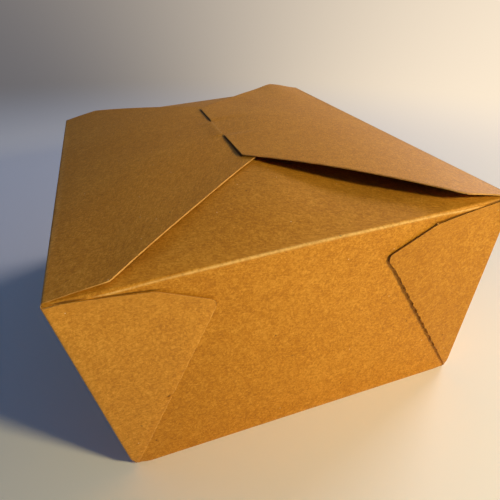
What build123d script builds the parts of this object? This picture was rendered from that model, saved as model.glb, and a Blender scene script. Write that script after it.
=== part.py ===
"""Fold-top takeaway carton: one folded board sheet and the flap that locks it."""

import os
from math import asin, atan, cos, degrees, hypot, radians, sin, sqrt, tan

from build123d import *

os.makedirs("parts", exist_ok=True)

# Overall sizes, in millimetres.
BASE_WIDTH = 140.0
BASE_LENGTH = 196.0
RIM_WIDTH = 166.0
RIM_LENGTH = 226.0
HEIGHT = 89.0

# Board and creases.
BOARD = 0.5
CREASE_RADIUS = 0.45

# Corner webs: two plies folded flat against each end wall.
WEB_PLIES = 2
WEB_TOE = 1.5
WEB_TIP_REACH = 51.0
WEB_TIP_DROP = 16.5
WEB_SHOULDER_REACH = 32.5
WEB_SHOULDER_DROP = 4.3
WEB_TIP_RADIUS = 2.0

# Side flaps: the slotted one and the locking one over it.
FLAP_LENGTH = 224.0
FLAP_SHOULDER = 20.0
LID_RISE = 10.2
SLOTTED_BOW = 1.9
SLOTTED_EDGE = 88.0
SLOTTED_LAP = 10.0
LOCKING_BOW = 3.0
LOCKING_EDGE = 91.0
LOCKING_OVERHANG = 2.5
LAP_GAP = 0.9
HINGE_GAP = 0.05

# Tongue on the locking flap and the slot that takes it.
TONGUE_WIDTH = 27.0
TONGUE_LENGTH = 9.0
TONGUE_SETBACK = 2.6
TONGUE_BEND = 45.0
TONGUE_BEND_RADIUS = 2.2
TONGUE_RELIEF = 0.4
TONGUE_TIP_RADIUS = 4.0
SLOT_WIDTH = 1.9
SLOT_END_PLAY = 0.8

# End flaps, tucked in first under the side flaps.
END_FLAP_REACH = 92.0
END_FLAP_MIDDLE = 35.0
END_FLAP_LEAD = 3.0
END_FLAP_SLOPE = 10.0
END_FLAP_INSET = 5.0
END_FLAP_TAPER = 16.0
END_FLAP_CORNER = 10.0
TUCK_GAP = 0.4
CROWN_GAP = 1.3
CROWN_SHARE = 0.72

# Derived sizes.
SIDE_LEAN = atan((RIM_WIDTH - BASE_WIDTH) / 2 / HEIGHT)
END_LEAN = atan((RIM_LENGTH - BASE_LENGTH) / 2 / HEIGHT)
END_SLANT = HEIGHT / cos(END_LEAN)
WEB = WEB_PLIES * BOARD
WALL_TOP = HEIGHT - BOARD - HINGE_GAP
STUB = 4.0


class Arch:
    """Arch of a bowed flap in its own section: run inward, rise up, from the crease at (0, 0)."""

    def __init__(self, run, rise, bow):
        """Pass the arch through (run, rise), bulging above that chord by bow."""
        chord = hypot(run, rise)
        self.radius = chord**2 / (8 * bow) + bow / 2
        drop = self.radius - bow
        self.run = run / 2 + rise / chord * drop
        self.rise = rise / 2 - run / chord * drop

    def at(self, run, depth=0.0):
        """Point of the surface that lies depth below the arch, at a run."""
        radius = self.radius - depth
        return Vector(run, self.rise + sqrt(radius**2 - (run - self.run) ** 2))

    def radial(self, run, depth=0.0):
        """Point depth below the arch, on the line square to the arch at a run."""
        share = 1 - depth / self.radius
        top = self.at(run)
        return Vector(self.run + (top.X - self.run) * share, self.rise + (top.Y - self.rise) * share)

    def slope(self, run):
        """Slope of the arch at a run, in radians."""
        return asin((self.run - run) / self.radius)


def frustum(side_inset, end_inset, low, high):
    """Tapered block between two heights, its walls moved in square to themselves."""
    sections = []
    for level in (low, high):
        width = BASE_WIDTH + 2 * level * tan(SIDE_LEAN) - 2 * side_inset / cos(SIDE_LEAN)
        length = BASE_LENGTH + 2 * level * tan(END_LEAN) - 2 * end_inset / cos(END_LEAN)
        sections.append(Plane.XY.offset(level) * Rectangle(width, length))
    return loft(sections, ruled=True)


def corner_edges(solid):
    """The four edges between the walls of a tapered block."""
    return solid.edges().filter_by(lambda edge: edge.bounding_box().size.Z > HEIGHT / 2)


def foot_edges(solid):
    """The edges round the bottom of a tapered block."""
    return solid.edges().group_by(Axis.Z)[0]


def crease_face(lean, outline, inner):
    """Section of a wall top with its flap: wall stub, crease and the flap's outline from there."""
    foot = Vector(STUB * sin(lean), -STUB * cos(lean))
    inner_foot = foot + Vector(BOARD * cos(lean), BOARD * sin(lean))
    edges = [Line(foot, (0, 0)), *outline, Line(inner, inner_foot), Line(inner_foot, foot)]
    face = make_face(edges)
    face = fillet(face.vertices().sort_by_distance((0, 0))[0], CREASE_RADIUS + BOARD)
    face = fillet(face.vertices().sort_by_distance(inner)[0], CREASE_RADIUS)
    return face


def wall_inner(lean, height):
    """Point of a wall's inner face, in the flap's section, at a height from the crease."""
    return Vector(BOARD / cos(lean) - height * tan(lean), height)


def plan_prism(points, round_points=(), radius=0.0):
    """Upright prism over a plan outline, round the lid."""
    face = make_face(Polyline(*points, close=True))
    for point in round_points:
        face = fillet(face.vertices().sort_by_distance(point)[0], radius)
    return extrude(Plane.XY.offset(HEIGHT - 2 * STUB) * face, amount=8 * STUB + LID_RISE)


# Sections of the two side flaps.
lock_x = -LOCKING_OVERHANG
slotted_run = lock_x + RIM_WIDTH / 2
slotted = Arch(slotted_run, LID_RISE, SLOTTED_BOW)
hinge_z = HEIGHT - BOARD / 2
hinge_x = BASE_WIDTH / 2 + hinge_z * tan(SIDE_LEAN) - BOARD / 2 / cos(SIDE_LEAN)
locking_run = hinge_x - lock_x
locking = Arch(locking_run, LID_RISE + LAP_GAP + BOARD, LOCKING_BOW)

left_plane = Plane((-RIM_WIDTH / 2, 0, HEIGHT), x_dir=(1, 0, 0), z_dir=(0, -1, 0))
hinge_plane = Plane((hinge_x, 0, hinge_z), x_dir=(-1, 0, 0), z_dir=(0, 1, 0))
front_plane = Plane((0, -RIM_LENGTH / 2, HEIGHT), x_dir=(0, 1, 0), z_dir=(1, 0, 0))

# Tray: walls and base, with the webs standing proud on both ends.
core = frustum(0, 0, 0, WALL_TOP)
core = fillet(foot_edges(core), CREASE_RADIUS + BOARD)
outer = frustum(0, -WEB, 0, WALL_TOP)
outer = fillet(corner_edges(outer) + foot_edges(outer), CREASE_RADIUS + BOARD)
inner = frustum(BOARD, BOARD, BOARD, HEIGHT + 1)
inner = fillet(corner_edges(inner) + foot_edges(inner), CREASE_RADIUS)

wall_plane = Plane(
    (0, -BASE_LENGTH / 2, 0), x_dir=(1, 0, 0), z_dir=(0, -cos(END_LEAN), -sin(END_LEAN))
)
tip = Vector(RIM_WIDTH / 2 - WEB_TIP_REACH, END_SLANT - WEB_TIP_DROP)
toe = Vector(BASE_WIDTH / 2 - WEB_TOE, 0)
fold_step = (toe - tip) / (tip.Y - toe.Y)
below = toe + fold_step * STUB
beside = RIM_WIDTH / 2 + STUB
web_face = make_face(
    Polyline(
        below,
        tip,
        (RIM_WIDTH / 2 - WEB_SHOULDER_REACH, END_SLANT - WEB_SHOULDER_DROP),
        (RIM_WIDTH / 2, END_SLANT),
        (beside, END_SLANT),
        (beside, below.Y),
        close=True,
    )
)
web_face = fillet(web_face.vertices().sort_by_distance(tip)[0], WEB_TIP_RADIUS)
web_block = extrude(wall_plane * web_face, amount=WEB * 3)
web_block += extrude(wall_plane * web_face, amount=-BOARD / 2)
web = outer & web_block
fold_middle = wall_plane.from_local_coords((toe + tip) / 2 + Vector(0, 0, WEB))
web = fillet(web.edges().sort_by_distance(fold_middle)[0], WEB * 0.6)
webs = [web, mirror(web, Plane.YZ), mirror(web, Plane.XZ)]
webs.append(mirror(webs[1], Plane.XZ))
tray = core + webs - inner

# Slotted flap, folded over the left wall.
flap_end = slotted_run + SLOTTED_LAP
over_run = flap_end + STUB
inner_corner = wall_inner(SIDE_LEAN, 0)
for _ in range(6):
    inner_corner = wall_inner(SIDE_LEAN, slotted.at(inner_corner.X, BOARD).Y)
top_arc = ThreePointArc((0, 0), slotted.at(over_run / 2), slotted.at(over_run))
end_line = Line(slotted.at(over_run), slotted.radial(over_run, BOARD))
low_end = slotted.radial(over_run, BOARD)
low_arc = ThreePointArc(low_end, slotted.at(over_run / 2, BOARD), inner_corner)
slotted_face = crease_face(SIDE_LEAN, [top_arc, end_line, low_arc], inner_corner)
slotted_flap = extrude(left_plane * slotted_face, amount=FLAP_LENGTH / 2, both=True)
left = -RIM_WIDTH / 2
slotted_flap &= plan_prism(
    [
        (left - STUB, -FLAP_LENGTH / 2),
        (left + FLAP_SHOULDER, -FLAP_LENGTH / 2),
        (left + flap_end, -SLOTTED_EDGE / 2),
        (left + flap_end, SLOTTED_EDGE / 2),
        (left + FLAP_SHOULDER, FLAP_LENGTH / 2),
        (left - STUB, FLAP_LENGTH / 2),
    ]
)

# Locking flap: round crease on the hinge, two shoulders, and a tongue bent down between them.
root_run = locking_run - TONGUE_SETBACK


def locking_face(run):
    """Section of the locking flap from its round crease to a run."""
    upper = [locking.radial(step, -BOARD / 2) for step in (0, run / 2, run)]
    lower = [locking.radial(step, BOARD / 2) for step in (run, run / 2, 0)]
    edges = [ThreePointArc(*upper), Line(upper[2], lower[0]), ThreePointArc(*lower)]
    slope = locking.slope(0)
    back = Vector(-BOARD / 2 * cos(slope), -BOARD / 2 * sin(slope))
    edges.append(ThreePointArc(lower[2], back, upper[0]))
    return make_face(edges)


half_tongue = TONGUE_WIDTH / 2 + TONGUE_RELIEF
bar = extrude(hinge_plane * locking_face(root_run), amount=FLAP_LENGTH / 2, both=True)
shoulder_face = hinge_plane * locking_face(locking_run)
shoulders = extrude(shoulder_face, amount=FLAP_LENGTH / 2, both=True)
shoulders -= extrude(shoulder_face, amount=half_tongue, both=True)
locking_flap = bar + shoulders
locking_flap &= plan_prism(
    [
        (hinge_x + STUB, -FLAP_LENGTH / 2),
        (hinge_x - FLAP_SHOULDER, -FLAP_LENGTH / 2),
        (lock_x, -LOCKING_EDGE / 2),
        (lock_x - STUB, -LOCKING_EDGE / 2),
        (lock_x - STUB, LOCKING_EDGE / 2),
        (lock_x, LOCKING_EDGE / 2),
        (hinge_x - FLAP_SHOULDER, FLAP_LENGTH / 2),
        (hinge_x + STUB, FLAP_LENGTH / 2),
    ]
)

start = locking.at(root_run)
start_slope = locking.slope(root_run)
end_slope = start_slope - radians(TONGUE_BEND)
bend = start - Vector(-sin(start_slope), cos(start_slope)) * TONGUE_BEND_RADIUS


def bend_point(share, lift):
    """Point of the tongue's bend, at a share of its turn and a lift from its middle."""
    turn = start_slope - radians(TONGUE_BEND) * share
    return bend + Vector(-sin(turn), cos(turn)) * (TONGUE_BEND_RADIUS + lift)


along = Vector(cos(end_slope), sin(end_slope))
bent = bend_point(1, 0)
top_tip = bend_point(1, BOARD / 2) + along * TONGUE_LENGTH
low_tip = bend_point(1, -BOARD / 2) + along * TONGUE_LENGTH
tongue_face = make_face(
    [
        ThreePointArc(*(bend_point(share, BOARD / 2) for share in (0, 0.5, 1))),
        Line(bend_point(1, BOARD / 2), top_tip),
        Line(top_tip, low_tip),
        Line(low_tip, bend_point(1, -BOARD / 2)),
        ThreePointArc(*(bend_point(share, -BOARD / 2) for share in (1, 0.5, 0))),
        Line(bend_point(0, -BOARD / 2), bend_point(0, BOARD / 2)),
    ]
)
tongue = extrude(hinge_plane * tongue_face, amount=TONGUE_WIDTH / 2, both=True)
tip_middle = hinge_plane.from_local_coords((top_tip + low_tip) / 2)
tip_corners = [tip_middle + Vector(0, side * TONGUE_WIDTH / 2, 0) for side in (-1, 1)]
tongue = fillet(
    [tongue.edges().sort_by_distance(corner)[0] for corner in tip_corners], TONGUE_TIP_RADIUS
)
locking_flap += tongue

# Slot in the slotted flap, where the tongue's middle passes through the board.
reach = 0.0
for _ in range(12):
    crossing = hinge_plane.from_local_coords(bent + along * reach)
    board_middle = slotted.at(crossing.X - left, BOARD / 2).Y + HEIGHT
    reach += (crossing.Z - board_middle) / -sin(end_slope)
slot_x = hinge_plane.from_local_coords(bent + along * reach).X
slot = Box(SLOT_WIDTH, TONGUE_WIDTH + 2 * SLOT_END_PLAY, 8 * STUB)
slotted_flap -= Pos(slot_x, 0, HEIGHT + LID_RISE) * slot

# End flaps: a crease on the end wall, then a sheet that bows up in the middle under the side flaps.
end_slope_up = radians(END_FLAP_SLOPE)
lead_end = Vector(cos(end_slope_up), sin(end_slope_up)) * END_FLAP_LEAD
lead_low = lead_end + Vector(sin(end_slope_up), -cos(end_slope_up)) * BOARD
low_rise = BOARD / cos(end_slope_up)
lead_corner_x = (BOARD / cos(END_LEAN) + low_rise * tan(END_LEAN)) / (
    1 + tan(end_slope_up) * tan(END_LEAN)
)
lead_corner = Vector(lead_corner_x, lead_corner_x * tan(end_slope_up) - low_rise)
lead_outline = [Line((0, 0), lead_end), Line(lead_end, lead_low), Line(lead_low, lead_corner)]
lead_face = crease_face(END_LEAN, lead_outline, lead_corner)
taper = tan(radians(END_FLAP_TAPER))


def half_width(run):
    """Half width of an end flap at a run from its crease."""
    return RIM_WIDTH / 2 - END_FLAP_INSET - run * taper


def end_section(run, crown):
    """Bowed cross-section of an end flap: its sides tucked under the side flaps, its middle at crown."""
    half = half_width(run)
    side = slotted.at(RIM_WIDTH / 2 - half, BOARD).Y - TUCK_GAP
    top = ThreePointArc((-half, side), (0, crown), (half, side))
    low = ThreePointArc((half, side - BOARD), (0, crown - BOARD), (-half, side - BOARD))
    ends = [Line((half, side), (half, side - BOARD)), Line((-half, side - BOARD), (-half, side))]
    upright = Plane((0, run - RIM_LENGTH / 2, HEIGHT), x_dir=(1, 0, 0), z_dir=(0, -1, 0))
    return upright * make_face([top, ends[0], low, ends[1]])


crown_end = slotted.at(RIM_WIDTH / 2, BOARD).Y - CROWN_GAP
root_half = half_width(lead_end.X)
lead = extrude(front_plane * lead_face, amount=root_half, both=True)
lead_middle = front_plane.from_local_coords((lead_end + lead_low) / 2)
root_plane = Plane(
    lead_middle, x_dir=(1, 0, 0), z_dir=(0, -cos(end_slope_up), -sin(end_slope_up))
)
root_section = root_plane * Rectangle(2 * root_half, BOARD)
sheet = loft(
    [
        root_section,
        end_section(END_FLAP_MIDDLE, crown_end * CROWN_SHARE),
        end_section(END_FLAP_REACH, crown_end),
    ]
)
front_y = -RIM_LENGTH / 2
tip_half = half_width(END_FLAP_REACH)
flap_tips = [(side * tip_half, front_y + END_FLAP_REACH) for side in (-1, 1)]
sheet &= plan_prism(
    [
        (-RIM_WIDTH / 2, front_y),
        (-half_width(0) - 0.5, front_y),
        (-tip_half - 0.5, front_y + END_FLAP_REACH),
        (tip_half + 0.5, front_y + END_FLAP_REACH),
        (half_width(0) + 0.5, front_y),
        (RIM_WIDTH / 2, front_y),
        (RIM_WIDTH / 2, front_y - STUB),
        (-RIM_WIDTH / 2, front_y - STUB),
    ],
    flap_tips,
    END_FLAP_CORNER,
)
end_flap = lead + sheet
end_flaps = [end_flap, mirror(end_flap, Plane.XZ)]

carton = tray + slotted_flap + end_flaps

export_step(carton, "parts/carton.step")
export_step(locking_flap, "parts/locking_flap.step")
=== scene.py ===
"""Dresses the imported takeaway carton: kraft board panels, creases, cut edges, floor, light and camera."""

import logging
import math
from dataclasses import dataclass, field
from enum import Enum, IntEnum
from typing import Any, ClassVar, Sequence, Union

import bmesh
import bpy
import numpy as np
from mathutils import Matrix, Vector


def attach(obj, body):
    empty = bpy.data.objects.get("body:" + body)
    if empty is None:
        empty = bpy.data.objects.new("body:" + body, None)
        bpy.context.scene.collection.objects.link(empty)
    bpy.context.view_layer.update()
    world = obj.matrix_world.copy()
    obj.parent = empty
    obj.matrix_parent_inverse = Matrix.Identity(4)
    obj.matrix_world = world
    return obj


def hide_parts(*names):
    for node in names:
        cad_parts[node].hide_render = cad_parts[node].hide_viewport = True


LOG = logging.getLogger("carton")
MM = 0.001
NUDGE = 0.01
CREASE_STEPS = 8
SHARP_ANGLE = 40.0

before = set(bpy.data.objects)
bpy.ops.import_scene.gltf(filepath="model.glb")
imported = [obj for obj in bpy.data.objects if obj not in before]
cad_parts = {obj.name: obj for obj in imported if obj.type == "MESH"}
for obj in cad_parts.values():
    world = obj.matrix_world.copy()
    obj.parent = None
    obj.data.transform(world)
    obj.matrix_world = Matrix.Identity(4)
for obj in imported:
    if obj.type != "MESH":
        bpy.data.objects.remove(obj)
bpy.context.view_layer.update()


class Side(IntEnum):
    """Material slots of a board piece."""

    FACE = 0
    EDGE = 1
    LINING = 2


class Corner(Enum):
    """The four webbed corners, as the signs of X and Y there."""

    NEAR_LEFT = (-1, -1)
    NEAR_RIGHT = (1, -1)
    FAR_LEFT = (-1, 1)
    FAR_RIGHT = (1, 1)


class Body(Enum):
    """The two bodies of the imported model."""

    CARTON = "carton"
    LOCKING_FLAP = "locking_flap"


def smooth_step(value: Any, low: float, high: float) -> Any:
    """Ease from 0 at low to 1 at high.

    Args:
        value: A number or an array.
        low: Where the ease starts.
        high: Where it ends.

    Returns:
        The eased share, in the shape of value.
    """
    share = np.clip((np.asarray(value, float) - low) / (high - low), 0.0, 1.0)
    return share * share * (3.0 - 2.0 * share)


def stretch(value: Any, bounds: Sequence[float]) -> Any:
    """Ease up between the first two bounds and down between the last two.

    Args:
        value: A number or an array.
        bounds: Start and end of the ease up, then of the ease down.

    Returns:
        The eased share, in the shape of value.
    """
    return smooth_step(value, *bounds[:2]) * (1 - smooth_step(value, *bounds[2:]))


def put(name: str, data: bpy.types.ID) -> bpy.types.Object:
    """Add an object to the scene.

    Args:
        name: The object's name.
        data: Its mesh, light or camera.

    Returns:
        The object, at the origin.
    """
    made = bpy.data.objects.new(name, data)
    bpy.context.scene.collection.objects.link(made)
    return made


# Nodes and shader maths


class Nodes:
    """A node tree that is filled in by one method."""

    def __init__(self, tree: bpy.types.NodeTree) -> None:
        """Start from an empty tree."""
        self.tree = tree
        tree.nodes.clear()

    def add(
        self,
        kind: str,
        settings: dict[str, Any] | None = None,
        inputs: dict[Union[str, int], Any] | None = None,
        out: Union[str, int] = 0,
    ) -> "Field":
        """Add a node.

        Args:
            kind: The node's type.
            settings: Properties that are set before any socket; stops are a ramp's colours.
            inputs: Values, or fields to link, by socket name or number.
            out: The output that is wanted.

        Returns:
            That output, as a field.
        """
        node = self.tree.nodes.new(kind)
        for name, value in (settings or {}).items():
            if name == "stops":
                self._set_stops(node.color_ramp, value)
            else:
                setattr(node, name, value)
        for key, value in (inputs or {}).items():
            if isinstance(value, Field):
                self.tree.links.new(value.socket, node.inputs[key])
            else:
                node.inputs[key].default_value = value
        socket = node.outputs[out] if len(node.outputs) else None
        return Field(self, socket)

    @staticmethod
    def _set_stops(ramp: bpy.types.ColorRamp, stops: Sequence[tuple[float, tuple]]) -> None:
        """Give a colour ramp its stops."""
        while len(ramp.elements) < len(stops):
            ramp.elements.new(1.0)
        for element, (position, colour) in zip(ramp.elements, stops):
            element.position = position
            element.color = (*colour, 1.0)

    def math(self, operation: str, first: Any, second: Any) -> "Field":
        """Add a Math node on two values or fields."""
        return self.add("ShaderNodeMath", {"operation": operation}, {0: first, 1: second})

    def mix(self, share: Any, first: Any, second: Any) -> "Field":
        """Mix two colours by a share."""
        return self.add("ShaderNodeMix", {"data_type": "RGBA"}, {0: share, 6: first, 7: second}, out=2)

    def bump(self, height: "Field", strength: float, distance: float) -> "Field":
        """Add a bump of a strength, up to a distance in metres."""
        return self.add("ShaderNodeBump", None, {"Strength": strength, "Distance": distance, "Height": height})

    def principled(self, colour: Any, roughness: Any, gloss: float, **others: Any) -> "Field":
        """Add a surface shader, with other inputs by socket name."""
        inputs = {"Base Color": colour, "Roughness": roughness, "Specular IOR Level": gloss}
        return self.add("ShaderNodeBsdfPrincipled", None, {**inputs, **others})

    def noise(
        self, place: Any, scale: float, detail: float, roughness: float = 0.5, distortion: float = 0.0
    ) -> "Field":
        """Add a noise texture.

        Args:
            place: Where the noise is looked up.
            scale: How many waves there are in a metre.
            detail: How many finer layers it has.
            roughness: How strong the finer layers are.
            distortion: How far it is twisted.

        Returns:
            The noise, about 0.5.
        """
        inputs = {"Vector": place, "Scale": scale, "Detail": detail, "Roughness": roughness}
        return self.add("ShaderNodeTexNoise", None, {**inputs, "Distortion": distortion})


@dataclass(frozen=True)
class Field:
    """One output socket, with arithmetic that adds Math nodes."""

    nodes: Nodes
    socket: bpy.types.NodeSocket

    def __add__(self, other: Any) -> "Field":
        """Sum."""
        return self.nodes.math("ADD", self, other)

    def __radd__(self, other: Any) -> "Field":
        """Sum, with the field second."""
        return self.nodes.math("ADD", other, self)

    def __sub__(self, other: Any) -> "Field":
        """Difference."""
        return self.nodes.math("SUBTRACT", self, other)

    def __rsub__(self, other: Any) -> "Field":
        """Difference, with the field second."""
        return self.nodes.math("SUBTRACT", other, self)

    def __mul__(self, other: Any) -> "Field":
        """Product."""
        return self.nodes.math("MULTIPLY", self, other)

    def __rmul__(self, other: Any) -> "Field":
        """Product, with the field second."""
        return self.nodes.math("MULTIPLY", other, self)

    def __pow__(self, other: Any) -> "Field":
        """Power."""
        return self.nodes.math("POWER", self, other)

    def above(self, low: float, high: float) -> "Field":
        """Ease from 0 at low to 1 at high."""
        settings = {"interpolation_type": "SMOOTHSTEP"}
        return self.nodes.add("ShaderNodeMapRange", settings, {0: self, 1: low, 2: high})

    def output(self, name: str) -> "Field":
        """Another output of the same node."""
        return Field(self.nodes, self.socket.node.outputs[name])


# Finishes

Colour = tuple[float, float, float]


def opaque(colour: Colour) -> tuple[float, float, float, float]:
    """A colour with full alpha."""
    return (*colour, 1.0)


@dataclass(frozen=True)
class Finish:
    """A material, whose surface each kind of finish builds."""

    name: str

    def surface(self, nodes: Nodes) -> Field:
        """Build the surface shader in the material's nodes."""
        raise NotImplementedError

    def make(self) -> bpy.types.Material:
        """Build the material.

        Returns:
            The material.
        """
        material = bpy.data.materials.new(self.name)
        material.use_nodes = True
        nodes = Nodes(material.node_tree)
        nodes.add("ShaderNodeOutputMaterial", None, {"Surface": self.surface(nodes)})
        return material


@dataclass(frozen=True)
class Strands:
    """Fibres that lie one way: their turn in degrees, length and spacing in metres, curl and brightness."""

    turn: float
    size: tuple[float, float]
    curl: float
    brightness: float


@dataclass(frozen=True)
class Specks:
    """Scattered specks: cell size in metres, radius in cells, share of cells that hold one, and strength."""

    pitch: float
    radius: float
    share: float
    strength: float


@dataclass(frozen=True)
class KraftFace(Finish):
    """Unbleached kraft board: curled fibres in the sheet, cloudy tone, specks, paler worn creases, and painted
    shade in gaps, under cut edges and on shaded folds.
    """

    name: str = "kraft_face"
    dark: Colour = (0.405, 0.142, 0.008)
    middle: Colour = (0.565, 0.224, 0.014)
    light: Colour = (0.725, 0.334, 0.043)
    worn: Colour = (0.95, 0.62, 0.24)
    worn_strength: float = 0.8
    # Painted shade: colour mixed in where the crease attribute is below 0.
    painted_shade_colour: Colour = (0.045, 0.016, 0.002)
    bark: Colour = (0.14, 0.05, 0.012)
    bark_specks: Specks = Specks(0.013, 0.036, 0.10, 0.8)
    lint: Colour = (0.92, 0.74, 0.46)
    lint_specks: Specks = Specks(0.008, 0.032, 0.09, 0.75)
    strands: tuple[Strands, ...] = (
        Strands(74.0, (0.0036, 0.0010), 0.7, 0.24),
        Strands(-38.0, (0.0032, 0.0011), 0.8, 0.20),
        Strands(24.0, (0.0038, 0.0013), 0.8, -0.20),
    )
    strand_depth: float = 0.0017
    strand_width: float = 0.085
    fibre_level: float = 0.44
    pulp_tone: float = 0.8
    flock_tone: float = 0.36
    cloud_tone: float = 0.34
    bump: tuple[float, float] = (0.38, 0.00018)
    roughness: float = 0.58
    roughness_spread: float = 0.22
    gloss: float = 0.24

    def _strands(self, nodes: Nodes, blank: Field, strands: Strands) -> Field:
        """Thin curled strands, where a drawn-out noise crosses its middle value.

        Args:
            nodes: The material's nodes.
            blank: Place on the flat sheet, in metres.
            strands: How the strands lie.

        Returns:
            1 along a strand, 0 away from it.
        """
        rotation, scale = (0, 0, math.radians(strands.turn)), (*strands.size, self.strand_depth)
        inputs = {"Vector": blank, "Rotation": rotation, "Scale": scale}
        turned = nodes.add("ShaderNodeMapping", {"vector_type": "TEXTURE"}, inputs)
        noise = nodes.noise(turned, 1.0, 1.5, 0.55, strands.curl)
        away = nodes.math("ABSOLUTE", noise - 0.5, 0.0)
        return 1 - away.above(0.0, self.strand_width)

    def _specks(self, nodes: Nodes, blank: Field, specks: Specks) -> Field:
        """Scattered small specks.

        Args:
            nodes: The material's nodes.
            blank: Place on the flat sheet, in metres.
            specks: How large and how many they are.

        Returns:
            Their strength inside a speck, 0 outside.
        """
        inputs = {"Vector": blank, "Scale": 1.0 / specks.pitch, "Randomness": 1.0}
        distance = nodes.add("ShaderNodeTexVoronoi", {"voronoi_dimensions": "2D"}, inputs, out="Distance")
        chance = nodes.add("ShaderNodeSeparateColor", None, {0: distance.output("Color")})
        spot = 1 - distance.above(specks.radius * 0.5, specks.radius)
        return spot * chance.above(1 - specks.share, 1 - specks.share + 0.01) * specks.strength

    def surface(self, nodes: Nodes) -> Field:
        """Build the surface shader.

        Args:
            nodes: The material's nodes.

        Returns:
            The shader.
        """
        blank = nodes.add("ShaderNodeAttribute", {"attribute_name": "blank"}, out="Vector")
        crease = nodes.add("ShaderNodeAttribute", {"attribute_name": "crease"}, out="Fac")
        place = nodes.add("ShaderNodeTexCoord", None, None, out="Object")

        fibres: Any = self.fibre_level
        for strands in self.strands:
            fibres = fibres + self._strands(nodes, blank, strands) * strands.brightness
        pulp = nodes.noise(place, 900.0, 2.0, 0.55)
        flock = nodes.noise(place, 230.0, 2.0)
        cloud = nodes.noise(place, 30.0, 3.0)
        tone = fibres + (pulp - 0.5) * self.pulp_tone
        tone = tone + (flock - 0.5) * self.flock_tone + (cloud - 0.5) * self.cloud_tone

        stops = [(0.05, self.dark), (0.5, self.middle), (0.95, self.light)]
        colour = nodes.add("ShaderNodeValToRGB", {"stops": stops}, {0: tone})
        for specks, speck_colour in ((self.bark_specks, self.bark), (self.lint_specks, self.lint)):
            colour = nodes.mix(self._specks(nodes, blank, specks), colour, opaque(speck_colour))
        wear = nodes.math("MAXIMUM", crease, 0.0) * (0.6 + pulp.above(0.36, 0.62) * 0.4)
        colour = nodes.mix(wear * self.worn_strength, colour, opaque(self.worn))
        # Painted shade: below 0 the crease attribute darkens the colour, for gaps, shadows under cut edges and
        # shaded folds.
        painted_shade_share = nodes.math("MAXIMUM", crease * -1.0, 0.0)
        colour = nodes.mix(painted_shade_share, colour, opaque(self.painted_shade_colour))

        height = fibres * 0.6 + pulp * 0.9
        bump = nodes.bump(height, *self.bump)
        rough = self.roughness + (pulp - 0.5) * self.roughness_spread
        return nodes.principled(colour, rough, self.gloss, Normal=bump)


@dataclass(frozen=True)
class KraftLining(KraftFace):
    """Inside of the board: the same fibres under a thin clear film, darker and glossier."""

    name: str = "kraft_lining"
    dark: Colour = (0.24, 0.08, 0.005)
    middle: Colour = (0.345, 0.13, 0.009)
    light: Colour = (0.46, 0.20, 0.026)
    roughness: float = 0.4
    gloss: float = 0.5


@dataclass(frozen=True)
class CutEdge(Finish):
    """Die-cut edge of the board: the paler core, with a coarse and a fine grain."""

    name: str = "kraft_cut_edge"
    dark: Colour = (0.42, 0.18, 0.035)
    light: Colour = (0.72, 0.39, 0.115)
    bump: tuple[float, float] = (0.5, 0.0002)
    roughness: float = 0.9
    gloss: float = 0.2

    def surface(self, nodes: Nodes) -> Field:
        """Build the surface shader.

        Args:
            nodes: The material's nodes.

        Returns:
            The shader.
        """
        place = nodes.add("ShaderNodeTexCoord", None, None, out="Object")
        coarse = nodes.noise(place, 240.0, 3.0)
        fine = nodes.noise(place, 2600.0, 2.0)
        stops = [(0.3, self.dark), (0.62, self.light)]
        colour = nodes.add("ShaderNodeValToRGB", {"stops": stops}, {0: coarse * 0.6 + fine * 0.4})
        bump = nodes.bump(fine, *self.bump)
        return nodes.principled(colour, self.roughness, self.gloss, Normal=bump)


@dataclass(frozen=True)
class Backdrop:
    """Background that the table fades into, with painted light and shade: dark on the left and paler on the
    right, as the light falls off.
    """

    # Painted shade on the left of the background, painted light on its right.
    left: Colour = (0.15, 0.143, 0.15)
    right: Colour = (1.0, 0.84, 0.645)
    bearings: tuple[float, float] = (-0.3, 0.95)

    def shown(self, nodes: Nodes) -> Field:
        """1 for rays that see the background, 0 for rays that carry light."""
        seen = nodes.add("ShaderNodeLightPath", None, None, out="Is Camera Ray")
        bounced = nodes.math("MAXIMUM", seen, seen.output("Is Glossy Ray"))
        return nodes.math("MAXIMUM", bounced, seen.output("Is Transmission Ray"))

    def spread(self, nodes: Nodes, place: Field) -> tuple[Field, Field]:
        """How far a place lies to the right and how far it lies from the carton."""
        across = nodes.add("ShaderNodeSeparateXYZ", None, {0: place}, out="X")
        along = across.output("Y")
        return across, (across * across + along * along) ** 0.5

    def colour(self, nodes: Nodes, across: Field, distance: Field) -> Field:
        """Colour of the background in a direction.

        Args:
            nodes: The nodes of the table or the sky.
            across: How far a place lies to the right.
            distance: How far it lies from the carton.

        Returns:
            The colour there.
        """
        bearing = across * nodes.math("MAXIMUM", distance, 0.05) ** -1.0
        return nodes.mix(bearing.above(*self.bearings), opaque(self.left), opaque(self.right))


@dataclass(frozen=True)
class PaleTable(Finish):
    """Plain pale table top, which fades into the backdrop away from the carton."""

    name: str = "pale_table"
    backdrop: Backdrop = Backdrop()
    colour: Colour = (0.98, 0.94, 0.96)
    roughness: float = 0.75
    gloss: float = 0.2
    fade: tuple[float, float] = (0.22, 0.8)
    lean: float = 0.6

    def surface(self, nodes: Nodes) -> Field:
        """Build the surface shader.

        Args:
            nodes: The material's nodes.

        Returns:
            The shader.
        """
        place = nodes.add("ShaderNodeTexCoord", None, None, out="Object")
        across, distance = self.backdrop.spread(nodes, place)
        far_colour = self.backdrop.colour(nodes, across, distance)
        far = nodes.add("ShaderNodeEmission", None, {"Color": far_colour, "Strength": 1.0})
        near = nodes.principled(opaque(self.colour), self.roughness, self.gloss)
        share = (distance + across * self.lean).above(*self.fade) * self.backdrop.shown(nodes)
        return nodes.add("ShaderNodeMixShader", None, {0: share, 1: near, 2: far})


# Board meshes


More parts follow.
